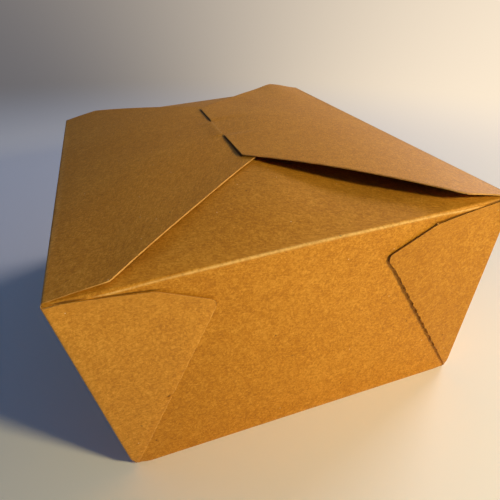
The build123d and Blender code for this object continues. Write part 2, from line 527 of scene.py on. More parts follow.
def grid_normals(grid: np.ndarray) -> np.ndarray:
    """Unit normals of a grid of points.

    Args:
        grid: Points, as rows by columns by three.

    Returns:
        Normals in the same shape.
    """
    along = np.gradient(grid, axis=0)
    across = np.gradient(grid, axis=1)
    normal = np.cross(along, across)
    return normal / np.maximum(np.linalg.norm(normal, axis=2, keepdims=True), 1e-12)


def lengths(grid: np.ndarray, axis: int) -> np.ndarray:
    """Running length over a grid along one axis."""
    steps = np.linalg.norm(np.diff(grid, axis=axis), axis=2)
    pad = [(0, 0), (0, 0)]
    pad[axis] = (1, 0)
    return np.cumsum(np.pad(steps, pad), axis=axis)


class BoardMesh:
    """Closed shells of board, gathered into one mesh, in millimetres until it is made."""

    def __init__(self) -> None:
        """Start with no shells."""
        self.points: list[np.ndarray] = []
        self.blank: list[np.ndarray] = []
        self.crease: list[np.ndarray] = []
        self.faces: list[tuple[int, ...]] = []
        self.sides: list[int] = []
        self.count = 0

    def _take(self, points: np.ndarray, blank: np.ndarray, crease: np.ndarray) -> int:
        """Store points with their marks.

        Args:
            points: Places, in millimetres.
            blank: Places on the flat sheet, in millimetres.
            crease: How worn the board is there, up to 1; below 0, how dark the painted shade is there.

        Returns:
            The number of the first stored point.
        """
        first = self.count
        self.points.append(points.reshape(-1, 3))
        self.blank.append(blank.reshape(-1, 3))
        self.crease.append(crease.reshape(-1))
        self.count += self.points[-1].shape[0]
        return first

    def _face(self, corners: Sequence[int], side: Side) -> None:
        """Store one face."""
        self.faces.append(tuple(int(corner) for corner in corners))
        self.sides.append(int(side))

    def add_sheet(
        self,
        grid: np.ndarray,
        thickness: float | np.ndarray,
        crease: np.ndarray | None = None,
        hole: np.ndarray | None = None,
    ) -> None:
        """Add a sheet: a grid that is its outer face, with thickness behind it.

        Args:
            grid: Outer points, as rows by columns by three; rows run so that the normal points out.
            thickness: Board thickness, one number or one for each point.
            crease: Wear at each point, with painted shade below 0, or none.
            hole: Cells that are cut out, or none.
        """
        rows, columns = grid.shape[:2]
        inner = grid - grid_normals(grid) * thickness
        blank = np.stack(
            [lengths(grid, 0), lengths(grid, 1), np.full((rows, columns), 7.0 * len(self.points))], axis=2
        )
        worn = np.zeros((rows, columns)) if crease is None else crease
        top = self._take(grid, blank, worn)
        low = self._take(inner, blank + np.array([0.0, 0.0, 3.0]), worn * 0.5)
        kept = np.ones((rows - 1, columns - 1), bool) if hole is None else ~hole
        padded = np.pad(kept, 1)
        for i, j in np.argwhere(kept):
            ring = [(i, j), (i + 1, j), (i + 1, j + 1), (i, j + 1)]
            numbers = [row * columns + column for row, column in ring]
            self._face([top + number for number in numbers], Side.FACE)
            self._face([low + number for number in reversed(numbers)], Side.LINING)
            beside = (padded[i + 1, j], padded[i + 2, j + 1], padded[i + 1, j + 2], padded[i, j + 1])
            for k, joined in enumerate(beside):
                if not joined:
                    first, second = numbers[k], numbers[(k + 1) % 4]
                    self._face([top + second, top + first, low + first, low + second], Side.EDGE)

    def add_rings(self, rings: np.ndarray, crease: np.ndarray, cut: np.ndarray) -> None:
        """Add a closed solid from closed rings, one above the other.

        Args:
            rings: Points, as rings by points by three.
            crease: Wear at each point, with painted shade below 0.
            cut: Cells between rings that are cut edges.
        """
        count, around = rings.shape[:2]
        blank = np.stack(
            [lengths(rings, 0), lengths(rings, 1), np.full((count, around), 7.0 * len(self.points))], axis=2
        )
        first = self._take(rings, blank, crease)
        for i in range(count - 1):
            for j in range(around):
                after = (j + 1) % around
                low, high = first + i * around, first + (i + 1) * around
                side = Side.EDGE if cut[i, j] else Side.FACE
                self._face([low + j, low + after, high + after, high + j], side)
        self._face(range(first, first + around), Side.FACE)
        self._face(range(first + (count - 1) * around, first + count * around), Side.EDGE)

    def make(self, name: str, finishes: Sequence[bpy.types.Material]) -> bpy.types.Object:
        """Turn the shells into an object.

        Args:
            name: The piece's name.
            finishes: Materials for the board's outer faces, its cut edges and its lining.

        Returns:
            The new object, at the origin.
        """
        mesh = bpy.data.meshes.new(name)
        points = np.concatenate(self.points) * MM
        mesh.from_pydata(points.tolist(), [], self.faces)
        for finish in finishes:
            mesh.materials.append(finish)
        mesh.polygons.foreach_set("material_index", np.array(self.sides, np.int32))
        blank = mesh.attributes.new("blank", "FLOAT_VECTOR", "POINT")
        blank.data.foreach_set("vector", (np.concatenate(self.blank) * MM).astype(np.float32).ravel())
        crease = mesh.attributes.new("crease", "FLOAT", "POINT")
        crease.data.foreach_set("value", np.concatenate(self.crease).astype(np.float32))
        shells = bmesh.new()
        shells.from_mesh(mesh)
        bmesh.ops.recalc_face_normals(shells, faces=shells.faces)
        shells.to_mesh(mesh)
        shells.free()
        mesh.polygons.foreach_set("use_smooth", np.ones(len(mesh.polygons), bool))
        mesh.set_sharp_from_angle(angle=math.radians(SHARP_ANGLE))
        return put(name, mesh)


@dataclass(frozen=True)
class Arch:
    """Bowed section of a side flap: run inward and rise up from the crease at (0, 0)."""

    run: float
    rise: float
    bow: float

    @property
    def radius(self) -> float:
        """Radius of the arch."""
        return math.hypot(self.run, self.rise) ** 2 / (8 * self.bow) + self.bow / 2

    @property
    def centre(self) -> tuple[float, float]:
        """Centre of the arch, as run and rise."""
        chord = math.hypot(self.run, self.rise)
        drop = self.radius - self.bow
        return self.run / 2 + self.rise / chord * drop, self.rise / 2 - self.run / chord * drop

    def slope(self, run: float) -> float:
        """Slope at a run, in radians."""
        return math.asin((self.centre[0] - run) / self.radius)

    def points(self, runs: np.ndarray, depth: float = 0.0) -> np.ndarray:
        """Points square below the arch.

        Args:
            runs: Runs on the arch itself.
            depth: How far below the arch.

        Returns:
            Run and rise of each point.
        """
        across, up = self.centre
        rises = up + np.sqrt(self.radius**2 - (runs - across) ** 2)
        share = 1 - depth / self.radius
        return np.stack([across + (runs - across) * share, up + (rises - up) * share], axis=1)


def rounded(
    before: Sequence[float], corner: Sequence[float], after: Sequence[float], radius: float, steps: int
) -> np.ndarray:
    """Arc that rounds a corner.

    Args:
        before: A point on the line into the corner.
        corner: The sharp corner.
        after: A point on the line out of it.
        radius: Radius of the arc.
        steps: Points on the arc, less one.

    Returns:
        The arc's points, first to last.
    """
    start, middle, end = (np.asarray(point, float) for point in (before, corner, after))
    into = (start - middle) / np.linalg.norm(start - middle)
    out = (end - middle) / np.linalg.norm(end - middle)
    half = math.acos(float(np.clip(into @ out, -1, 1))) / 2
    bisector = (into + out) / np.linalg.norm(into + out)
    centre = middle + bisector * radius / math.sin(half)
    first = middle + into * radius / math.tan(half) - centre
    last = middle + out * radius / math.tan(half) - centre
    turn = math.pi - 2 * half
    shares = np.linspace(0, 1, steps + 1)[:, None]
    return centre + (np.sin((1 - shares) * turn) * first + np.sin(shares * turn) * last) / math.sin(turn)


@dataclass(frozen=True)
class Shape:
    """Sizes that the carton's panels share, in millimetres."""

    base_width: float = 140.0
    base_length: float = 196.0
    rim_width: float = 166.0
    rim_length: float = 226.0
    height: float = 89.0
    board: float = 0.5
    crease_radius: float = 0.95
    flap_length: float = 224.0
    flap_shoulder: float = 20.0
    lid_rise: float = 10.2
    slotted_bow: float = 1.9
    locking_bow: float = 3.0
    overhang: float = 2.5
    lap_gap: float = 0.9
    hinge_gap: float = 0.05
    tongue_shift: float = 2.3
    ripple_runs: tuple[float, float] = (4.0, 30.0)

    @property
    def side_flare(self) -> float:
        """How far a side wall moves out for each millimetre up."""
        return (self.rim_width - self.base_width) / 2 / self.height

    @property
    def end_flare(self) -> float:
        """How far an end wall moves out for each millimetre up."""
        return (self.rim_length - self.base_length) / 2 / self.height

    @property
    def hinge(self) -> tuple[float, float]:
        """Place of the locking flap's crease, as X and Z."""
        level = self.height - self.board / 2
        lean = math.atan(self.side_flare)
        return self.base_width / 2 + level * self.side_flare - self.board / 2 / math.cos(lean), level

    @property
    def slotted(self) -> Arch:
        """Section of the slotted flap's upper face."""
        return Arch(self.rim_width / 2 - self.overhang, self.lid_rise, self.slotted_bow)

    @property
    def locking(self) -> Arch:
        """Section of the locking flap's middle."""
        rise = self.lid_rise + self.lap_gap + self.board
        return Arch(self.hinge[0] + self.overhang, rise, self.locking_bow)

    def flap_reach(self, runs: np.ndarray, end: float, edge: float) -> np.ndarray:
        """Half length of a side flap at each run.

        Args:
            runs: Runs in from the crease.
            end: Run of the free edge.
            edge: Length of the free edge.

        Returns:
            The half lengths.
        """
        shoulder = self.flap_length / 2
        taper = (shoulder - edge / 2) / (end - self.flap_shoulder)
        return shoulder - np.clip(runs - self.flap_shoulder, 0, None) * taper

    def ripple(self, across: np.ndarray, along: np.ndarray, run: float | np.ndarray) -> np.ndarray:
        """Slow unevenness of the lid, which fades out towards a crease.

        Args:
            across: X of each point.
            along: Y of each point.
            run: Run in from the crease.

        Returns:
            Lift of each point.
        """
        long_wave = np.sin(along * 0.043 + across * 0.012 + 0.7)
        short_wave = np.sin(along * 0.091 - across * 0.037 + 2.1)
        return (0.10 * long_wave + 0.06 * short_wave) * smooth_step(run, *self.ripple_runs)


def band_wear(grid: np.ndarray, place: float, width: float, amount: float) -> np.ndarray:
    """Wear in a band along the rows.

    Args:
        grid: Points of the sheet.
        place: Running length of the band's middle.
        width: Half width of the band.
        amount: Wear at its middle.

    Returns:
        Wear at each point.
    """
    return amount * np.exp(-(((lengths(grid, 0) - place) / width) ** 2))


@dataclass(frozen=True)
class WebFold:
    """How one webbed corner is rounded, folded and worn, with its painted sheen and shade.

    Attributes:
        foot_radius: Radius of the upright corner at the table.
        foot_soft: How far the foot is crushed in and up.
        tip_soft: How far the web's tip is rounded.
        wear: Wear along the fold.
        roundness: How far the fold falls away to the wall, as a share of the web's thickness.
        shift: How far the fold lies outside its drawn line.
        pale: Painted sheen over the whole web above 0; below 0, the whole web is darker.
        seam_step: How far the cut edge stands over the wall.
        seam_painted_shade: How dark the painted shade under that edge is.
        lift: How far the fold stands off the wall.
        rough: How uneven the fold's line is.
        shade: How dark the painted shade on the fold's inner side is.
        notch: Level and depth of a small tear, if there is one.
    """

    foot_radius: float
    foot_soft: float
    tip_soft: float
    wear: float
    roundness: float
    shift: float
    pale: float
    seam_step: float
    seam_painted_shade: float
    lift: float
    rough: float
    shade: float = 0.0
    notch: tuple[float, float] | None = None


@dataclass(frozen=True)
class WebRow:
    """A web at one level.

    Attributes:
        level: Height above the table.
        out: Distance of the side wall from the carton's middle.
        wall: Distance of the end wall from the carton's middle.
        edge: Distance of the web's edge from the middle of the end wall.
        folded: Whether that edge is the fold, and not a cut.
        stack: Thickness of the web on the wall.
        radius: Radius of the upright corner.
        lift: How far the edge stands off the wall.
        ajar: How far the part above the tip stands off more.
        single: 0 where the web has two plies, 1 where it has one.
        torn: 1 in a notch, 0 away from it.
    """

    level: float
    out: float
    wall: float
    edge: float
    folded: bool
    stack: float
    radius: float
    lift: float
    ajar: float
    single: float
    torn: float


def corner_webs() -> dict[Corner, WebFold]:
    """The four folds, each a little different.

    Returns:
        The fold at each corner.
    """
    # Each fold's pale tone is a painted sheen, and its seam and fold darkness is painted shade.
    return {
        Corner.NEAR_LEFT: WebFold(
            foot_radius=1.3, foot_soft=0.7, tip_soft=1.3, wear=0.22, roundness=0.5, shift=0.0,
            pale=0.07, seam_step=0.22, seam_painted_shade=0.4, lift=0.2, rough=0.08, notch=(35.4, 0.9),
        ),
        Corner.NEAR_RIGHT: WebFold(
            foot_radius=0.95, foot_soft=0.2, tip_soft=0.3, wear=0.03, roundness=0.0, shift=1.0,
            pale=-0.11, seam_step=0.26, seam_painted_shade=0.85, lift=0.22, rough=0.22, shade=0.6,
        ),
        Corner.FAR_LEFT: WebFold(
            foot_radius=1.2, foot_soft=0.5, tip_soft=1.0, wear=0.2, roundness=0.2, shift=0.3,
            pale=0.05, seam_step=0.3, seam_painted_shade=0.5, lift=0.4, rough=0.1,
        ),
        Corner.FAR_RIGHT: WebFold(
            foot_radius=1.1, foot_soft=0.4, tip_soft=0.6, wear=0.15, roundness=0.3, shift=0.0,
            pale=0.1, seam_step=0.4, seam_painted_shade=0.7, lift=0.25, rough=0.12, notch=(41.0, 0.7),
        ),
    }


@dataclass
class Carton:
    """The folded sheet without the locking flap: base, walls, webs, end flaps and slotted flap."""

    # Places on a web's ring of points, which runs from the side wall round the fold to the back
    corner_points: ClassVar[slice] = slice(3, 6)
    torn_points: ClassVar[slice] = slice(22, 30)
    fold_points: ClassVar[slice] = slice(23, 26)
    cut_cells: ClassVar[slice] = slice(23, 27)
    # Painted shade on a fold's inner side goes on these points.
    shade_points: ClassVar[slice] = slice(25, 30)
    fold_middle: ClassVar[int] = 26
    # Painted shade under a web's cut edge goes on these points.
    seam_shade_points: ClassVar[slice] = slice(27, 30)

    # Section of a web: its cut edge, as steps out and shares of the thickness, and points near the fold
    cut_steps: ClassVar[tuple[float, ...]] = (0.02, 0.02, -0.04, 0.02, 0.02)
    cut_shares: ClassVar[tuple[float, ...]] = (0.2, 0.44, 0.5, 0.56, 0.8, 1.0)
    near_fold: ClassVar[tuple[float, ...]] = (0.72, 0.44, 0.22, 0.06, 0.0)

    shape: Shape
    finishes: Sequence[bpy.types.Material]
    webs: dict[Corner, WebFold] = field(default_factory=corner_webs)

    # Base, feet and walls
    base_corner: float = 2.0
    base_inset: float = 0.82
    foot_lead: float = 9.0
    foot_levels: tuple[float, float] = (-2.0, 12.0)
    foot_press: float = 0.25
    foot_press_height: float = 5.0
    foot_band: tuple[float, float] = (0.7, 0.6)
    soft_reach: float = 7.0
    soft_height: float = 6.0
    soft_rise: float = 0.55
    wall_bow: float = 0.35
    # Painted shade: the near wall is darker towards its left.
    wall_painted_shade: float = 0.10
    wall_painted_shade_span: tuple[float, float] = (-75.0, 10.0)
    clearance: float = 0.02

    # Webs
    web: float = 0.85
    web_toe: float = 0.6
    web_tip: tuple[float, float] = (51.0, 16.5)
    web_shoulder: tuple[float, float] = (32.5, 4.3)
    web_blunt: tuple[float, float] = (0.5, 2.8)
    web_top: float = 0.75
    web_ajar: float = 0.1
    web_shut: float = 0.75
    web_sink: float = 0.5
    web_sink_depths: tuple[float, float] = (22.0, 3.0)
    web_sink_runs: tuple[float, float] = (0.5, 7.0)
    web_sink_ends: tuple[float, float] = (0.55, 1.05)
    tip_place: float = 1.0
    tip_reach: float = 4.0
    rough_levels: tuple[float, float] = (3.0, 20.0)
    rough_fade: float = 14.0
    rough_waves: tuple[float, float, float] = (1.31, 2.83, 0.7)
    shift_fade: tuple[float, float] = (-6.0, 2.0)
    lift_levels: tuple[float, float] = (2.0, 16.0)
    lift_span: tuple[float, float] = (0.1, 1.0)
    ajar_span: tuple[float, float] = (0.02, 0.25)
    shut_height: float = 10.0
    single_height: float = 3.0
    least_face: float = 0.2
    tie_start: float = 9.0
    tie_end: float = 4.0
    fold_reach: float = 6.0
    corner_wear: float = 0.35
    cut_wear: float = 0.15
    shade_levels: tuple[float, float] = (2.0, 12.0)
    notch_height: float = 0.7
    # Painted shade in a notch's tear.
    notch_painted_shade: float = 0.75
    # Painted shade along the gap above each web's upper edge, and where it runs.
    gap_shade_strength: float = 0.66
    gap_shade_runs: tuple[float, float] = (1.0, 5.0)
    gap_shade_end: float = 2.0
    gap_shade_narrowing: float = 0.25
    gap_shade_edge: tuple[float, float] = (-0.2, 0.05)
    gap_shade_fade: tuple[float, float] = (0.5, 1.1)
    upright: float = 0.986
    rim_stretch: float = 6.0
    rim_rows: int = 20
    rim_edge: float = 0.08
    rim_margins: tuple[float, float] = (0.6, 0.3)
    nick_runs: tuple[tuple[float, int], ...] = ((29.6, -1), (58.0, -1), (24.0, 1), (63.0, 1))
    web_nick_corners: tuple[Corner, ...] = (Corner.NEAR_RIGHT, Corner.FAR_LEFT)
    web_nick_depth: float = 0.6

    # Slotted flap
    slotted_edge: float = 88.0
    slotted_lap: float = 10.0
    slotted_start: float = 1.6
    side_wear: tuple[float, float] = (0.4, 0.2)
    side_crease_band: float = 0.6
    edge_sag: float = 1.6
    sag_runs: tuple[float, float] = (-6.0, 24.0)
    sag_fade: float = 0.85
    sag_fade_runs: tuple[float, float] = (45.0, 92.0)
    crush: float = 0.6
    crush_runs: tuple[float, float] = (14.0, 22.0)
    slot_place: float = -2.0
    slot_width: float = 1.3
    slot_share: float = 0.2697
    lip_run: float = 9.0
    lip_lift: float = 0.45
    lip_lift_span: tuple[float, float] = (12.5, 15.0)
    lip_press: float = 0.8
    lip_press_span: tuple[float, float] = (12.5, 19.0)
    # Painted shade beside the tongue under the lid's free edge, and a painted highlight on the lip above the
    # tongue.
    lip_painted_shade: float = 0.85
    lip_painted_highlight: float = 0.3
    lip_painted_highlight_span: tuple[float, float] = (11.0, 13.0)
    shade_line_onset: tuple[float, float] = (0.9, 0.15)
    shade_line_fade: float = 1.0
    shade_line_start: tuple[float, float] = (12.6, 14.2)
    shade_line_end: tuple[float, float] = (44.5, 46.5)

    # End flaps
    end_reach: float = 92.0
    end_inset: float = 5.0
    end_taper: float = 16.0
    end_corner: float = 10.0
    end_start: float = 1.2
    end_fine: float = 12.0
    end_wear: tuple[float, float] = (0.3, 0.85)
    end_crease_band: float = 0.55
    rim_inset: float = 0.7
    rim_inset_runs: tuple[float, float] = (0.6, 4.2)
    crown: tuple[float, float] = (0.22477, -0.0014424)
    crown_start: float = 0.75
    tuck: tuple[float, float] = (0.06737, -0.000153)
    vault_runs: tuple[float, float] = (1.0, 16.0)
    left_dip: float = 2.2
    left_dip_runs: tuple[float, float] = (1.0, 18.0)
    right_dip: float = 3.4
    right_dip_runs: tuple[float, float] = (4.0, 40.0)
    right_dip_spread: float = 0.12
    mouth_dip: float = 0.9
    mouth_runs: tuple[float, float] = (-18.0, 4.0)
    mouth_span: tuple[float, float, float, float] = (-1.0, 11.0, 20.0, 46.0)
    lid_edge_run: float = 67.5
    lid_edge_slope: float = 1.02
    far_dip: float = 0.4

    board_mesh: BoardMesh = field(default_factory=BoardMesh)
    fold_lines: list[np.ndarray] = field(default_factory=list)

    @property
    def tip_level(self) -> float:
        """Level of a web's tip."""
        return self.shape.height - self.web_tip[1] * self.upright

    @property
    def slotted_end(self) -> float:
        """Run of the slotted flap's free edge."""
        return self.shape.rim_width / 2 - self.shape.overhang + self.slotted_lap

    @property
    def slot_runs(self) -> np.ndarray:
        """Runs of the slot's two lips."""
        return self.slot_place + self.shape.rim_width / 2 + np.array([-0.5, 0.5]) * self.slot_width

    @property
    def end_slope(self) -> float:
        """Slope of an end flap at its crease."""
        return self.crown[0] * self.crown_start

    def _corner(self, level: np.ndarray, corner: Corner) -> np.ndarray:
        """Radius of an upright corner at each level, larger near the table."""
        radius = self.shape.crease_radius
        return radius + (self.webs[corner].foot_radius - radius) * (1 - smooth_step(level, *self.foot_levels))

    def _soften(self, grid: np.ndarray) -> np.ndarray:
        """Round the foot of each corner in and up, as folded board does.

        Args:
            grid: Points of a panel.

        Returns:
            The same points, moved where they are near a foot.
        """
        shape = self.shape
        level = np.clip(grid[..., 2], 0, None)
        corner_x = shape.base_width / 2 + level * shape.side_flare
        corner_y = shape.base_length / 2 + level * shape.end_flare
        away = np.hypot(np.abs(grid[..., 0]) - corner_x, np.abs(grid[..., 1]) - corner_y)
        share = 1 - smooth_step(away, 0.0, self.soft_reach)
        share = share * (1 - smooth_step(level, 0.0, self.soft_height))
        signs = np.sign(grid[..., :2])
        for corner, fold in self.webs.items():
            share[(signs == np.array(corner.value)).all(axis=-1)] *= fold.foot_soft
        moved = grid.copy()
        moved[..., :2] -= signs * share[..., None]
        moved[..., 2] += self.soft_rise * share
        return moved

    def _stack(self, level: np.ndarray) -> np.ndarray:
        """How far a web stands off its end wall at each level."""
        pressed = self.foot_press + (1 - self.foot_press) * smooth_step(level, 0, self.foot_press_height)
        return self.web * math.hypot(1, self.shape.end_flare) * pressed

    def _foot(self, level: np.ndarray) -> np.ndarray:
        """How far the rounded foot draws a wall in at each level."""
        radius = self.shape.crease_radius
        below = np.clip(radius - level, 0, radius)
        return radius - np.sqrt(radius**2 - below**2)

    def _wall_path(self, half: float, flare: float, top: float, fine: float = 0.0) -> np.ndarray:
        """Section of a wall: rounded foot, then straight up.

        Args:
            half: Half of the base across this wall.
            flare: How far the wall moves out for each millimetre up.
            top: Level where the path stops.
            fine: Height of the stretch at the top with close points.

        Returns:
            Distance out and level of each point.
        """
        rim = (half + flare * self.shape.height, self.shape.height)
        foot = rounded((half - self.foot_lead, 0), (half, 0), rim, self.shape.crease_radius, 6)
        levels = np.linspace(foot[-1, 1], top - fine, 36)[1:]
        if fine:
            levels = np.concatenate([levels, np.linspace(top - fine, top, self.rim_rows + 1)[1:]])
        return np.concatenate([foot, np.stack([half + levels * flare, levels], axis=1)])

    def _bow(self, path: np.ndarray, shares: np.ndarray) -> np.ndarray:
        """Inward bow of a wall panel.

        Args:
            path: Distance out and level of each row.
            shares: Place of each column, from -1 to 1.

        Returns:
            Bow of each point, as rows by columns.
        """
        rise = np.sin(np.pi * np.clip(path[:, 1] / self.shape.height, 0, 1))
        span = np.cos(shares * np.pi / 2) ** 0.8
        return self.wall_bow * rise[:, None] * span[None, :]

    def _base(self) -> None:
        """Add the flat base."""
        shape, radius = self.shape, self.base_corner
        half = shape.base_width / 2 - self.base_inset
        tail = half - radius + radius * np.sin(np.linspace(0, math.pi / 2, 8))
        across = np.concatenate([-tail[::-1], np.linspace(radius - half, half - radius, 19)[1:-1], tail])
        trim = radius - np.sqrt(radius**2 - np.clip(np.abs(across) - (half - radius), 0, radius) ** 2)
        reach = shape.base_length / 2 - self.base_inset - trim
        rows = np.sin(np.linspace(-1, 1, 41) * math.pi / 2)
        y = rows[:, None] * reach[None, :]
        x = np.repeat(across[None, :], len(rows), axis=0)
        base = np.stack([x, y, np.zeros_like(x)], axis=2)
        self.board_mesh.add_sheet(self._soften(base), shape.board)

    def _side_columns(self) -> np.ndarray:
        """Places of a side wall's columns, from -1 to 1, with the slot's ends among them."""
        return np.unique(np.concatenate([np.linspace(-1, 1, 71), [-self.slot_share, self.slot_share]]))

    def _side_reach(self, path: np.ndarray, side: int) -> np.ndarray:
        """How far a side wall reaches towards its near and far ends.

        Args:
            path: Distance out and level of each row.
            side: -1 for the left wall, 1 for the right.

        Returns:
            Half lengths towards the two ends, as rows by two.
        """
        level = path[:, 1]
        straight = self.shape.base_length / 2 + level * self.shape.end_flare - self._foot(level)
        tucks = [self._stack(level) - self._corner(level, Corner((side, end))) for end in (-1, 1)]
        return np.stack([straight + np.minimum(tuck, 0) for tuck in tucks], axis=1)

    @staticmethod
    def _side_grid(path: np.ndarray, reach: np.ndarray, bow: np.ndarray, shares: np.ndarray) -> np.ndarray:
        """Points of a side wall, placed as the left one.

        Args:
            path: Distance out and level of each row.
            reach: Half lengths towards the two ends, as rows by two.
            bow: Inward bow of each point, as rows by columns.
            shares: Place of each column, from -1 to 1.

        Returns:
            Points, as rows by columns by three.
        """
        x = -(path[:, :1] - bow)
        y = np.where(shares < 0, reach[:, :1], reach[:, 1:]) * shares
        z = np.repeat(path[:, 1:], len(shares), axis=1)
        return np.stack([x, y, z], axis=2)

    def _right_wall(self) -> None:
        """Add the long side wall that carries the locking flap's crease."""
        shape, shares = self.shape, self._side_columns()
        top = shape.height - shape.board - shape.hinge_gap
        path = self._wall_path(shape.base_width / 2, shape.side_flare, top)
        grid = self._side_grid(path, self._side_reach(path, 1), self._bow(path, shares), shares)
        grid = self._soften(grid[:, ::-1] * np.array([-1, 1, 1]))
        self.board_mesh.add_sheet(grid, shape.board, band_wear(grid, *self.foot_band, self.side_wear[0]))

    def _sag(self, run: np.ndarray, share: np.ndarray) -> np.ndarray:
        """How far the slotted flap droops towards its near end.

        Args:
            run: Run in from the crease.
            share: Place along the flap, from -1 at the near end to 1.

        Returns:
            Droop of each point.
        """
        start = smooth_step(0.0, *self.sag_runs)
        onset = (smooth_step(run, *self.sag_runs) - start) / (1 - start)
        fade = 1 - self.sag_fade * smooth_step(run, *self.sag_fade_runs)
        return onset * fade * self.edge_sag * smooth_step(-share, 0.1, 1.0)

    def _lip_shift(self, run: np.ndarray, along: np.ndarray) -> np.ndarray:
        """How far the tongue lifts the lip that it passes under, and presses the other one down.

        Args:
            run: Run in from the crease.
            along: Y of each point.

        Returns:
            Shift upward of each point.
        """
        low, high = self.slot_runs
        from_tongue = np.abs(along - self.shape.tongue_shift)
        lip = smooth_step(run, low - self.lip_run, low) * (run < low + NUDGE)
        lifted = self.lip_lift * lip * (1 - smooth_step(from_tongue, *self.lip_lift_span))
        beyond = self.lip_press * smooth_step(run, low, high)
        return lifted - beyond * (1 - smooth_step(from_tongue, *self.lip_press_span))

    def _lip_painted_light(self, run: np.ndarray, along: np.ndarray) -> np.ndarray:
        """Painted shade in a dark line beside the tongue, where the lid's free edge lies, and a painted
        highlight on the lip above the tongue.

        Args:
            run: Run in from the crease.
            along: Y of each point.

        Returns:
            Painted highlight above 0 and painted shade below 0, at each point.
        """
        low, high = self.slot_runs
        from_tongue = np.abs(along - self.shape.tongue_shift)
        shade_line = smooth_step(run, low - self.shade_line_onset[0], low - self.shade_line_onset[1])
        beside = smooth_step(from_tongue, *self.shade_line_start) * (1 - smooth_step(np.abs(along), *self.shade_line_end))
        dark = self.lip_painted_shade * shade_line * (1 - smooth_step(run, high, high + self.shade_line_fade)) * beside
        above = (run < low + NUDGE) * (1 - smooth_step(from_tongue, *self.lip_painted_highlight_span))
        return self.lip_painted_highlight * shade_line * above - dark

    def _left_wall(self) -> None:
        """Add the long side wall that folds into the slotted flap."""
        shape, shares, slot = self.shape, self._side_columns(), self.slot_runs
        wall = self._wall_path(shape.base_width / 2, shape.side_flare, shape.height - self.slotted_start)
        rim = np.array([shape.rim_width / 2, shape.height])
        first = shape.slotted.points(np.array([3.0]))[0]
        inward = rim + np.array([-first[0], first[1]])
        crease = rounded(wall[-1], rim, inward, shape.crease_radius, CREASE_STEPS)
        even = np.linspace(self.slotted_start, self.slotted_end, 44)
        runs = np.unique(np.concatenate([even, slot, [slot[0] - self.shade_line_onset[0]]]))
        flap = shape.slotted.points(runs)
        flap = np.stack([shape.rim_width / 2 - flap[:, 0], shape.height + flap[:, 1]], axis=1)
        path = np.concatenate([wall, crease, flap])
        flap_row = len(path) - len(runs)
        run = np.concatenate([np.zeros(flap_row), runs])[:, None]

        wall_reach = self._side_reach(wall, -1)
        crease_reach = np.linspace(wall_reach[-1], [shape.flap_length / 2] * 2, len(crease))
        flap_reach = shape.flap_reach(runs, self.slotted_end, self.slotted_edge)
        reach = np.concatenate([wall_reach, crease_reach, np.repeat(flap_reach[:, None], 2, axis=1)])
        bow = np.zeros((len(path), len(shares)))
        bow[: len(wall)] = self._bow(wall, shares)
        grid = self._side_grid(path, reach, bow, shares)
        grid[..., 2] += shape.ripple(grid[..., 0], grid[..., 1], run)
        grid[..., 2] -= self._sag(run, shares[None, :])
        grid[..., 2] += self._lip_shift(run, grid[..., 1])

        crushed = smooth_step(np.abs(shares), 0.985, 1.0)[None, :] * (run > 0)
        thickness = shape.board * (1 - self.crush * crushed * (1 - smooth_step(run, *self.crush_runs)))
        low, high = flap_row + np.searchsorted(runs, slot - NUDGE)
        hole = np.zeros((len(path) - 1, len(shares) - 1), bool)
        hole[low:high] = np.abs((shares[:-1] + shares[1:]) / 2) < self.slot_share
        grid = self._soften(grid)
        crease_place = float(lengths(grid, 0)[len(wall) + CREASE_STEPS // 2, 0])
        wear = band_wear(grid, *self.foot_band, self.side_wear[0])
        wear = wear + band_wear(grid, crease_place, self.side_crease_band, self.side_wear[1])
        # Painted shade along the lid's free edge, and a painted highlight on the lip above the tongue.
        wear = wear + self._lip_painted_light(run, grid[..., 1])
        self.board_mesh.add_sheet(grid, thickness[..., None], np.clip(wear, -1, 1), hole)

    def _painted_gap_shade(self, grid: np.ndarray) -> np.ndarray:
        """Painted shade: a dark line where the upper edge of a web parts from the end wall.

        Args:
            grid: Points of the end wall.

        Returns:
            1 in the line, 0 away from it.
        """
        reach, fall = self.web_shoulder
        run = self.shape.rim_width / 2 - np.abs(grid[..., 0])
        above = grid[..., 2] - self.shape.height + run * fall / reach
        beside = smooth_step(run, *self.gap_shade_runs) * (1 - smooth_step(run, reach, reach + self.gap_shade_end))
        shown = above + self.gap_shade_narrowing * run / reach
        return beside * smooth_step(above, *self.gap_shade_edge) * (1 - smooth_step(shown, *self.gap_shade_fade))

    def _sink(self, across: np.ndarray, level: np.ndarray) -> np.ndarray:
        """How far a web presses the wall in below the rim.

        Args:
            across: X of each point.
            level: Level of each point.

        Returns:
            Shift inward of each point.
        """
        reach = self.web_shoulder[0]
        run = self.shape.rim_width / 2 - np.abs(across)
        ends = [share * reach for share in self.web_sink_ends]
        beside = stretch(run, [*self.web_sink_runs, *ends])
        start, end = (self.shape.height - depth for depth in self.web_sink_depths)
        return self.web_sink * beside * smooth_step(level, start, end)

    def _rim_levels(self, across: np.ndarray, top: float) -> np.ndarray:
        """Levels of the rows below the rim, which part along the web's upper edge.

        Args:
            across: X of each column.
            top: Level of the last row.

        Returns:
            Levels, as rows by columns.
        """
        run = self.shape.rim_width / 2 - np.abs(across)
        edge = self.shape.height - run * self.web_shoulder[1] / self.web_shoulder[0]
        low = top - self.rim_stretch
        edge = np.clip(edge + self.rim_edge, low + self.rim_margins[0], top - self.rim_margins[1])
        under = low + (edge - low) * np.linspace(0, 1, self.rim_rows // 2 + 1)[1:, None]
        start = edge + self.clearance
        over = start + (top - start) * np.linspace(0, 1, self.rim_rows // 2)[:, None]
        return np.concatenate([under, over])

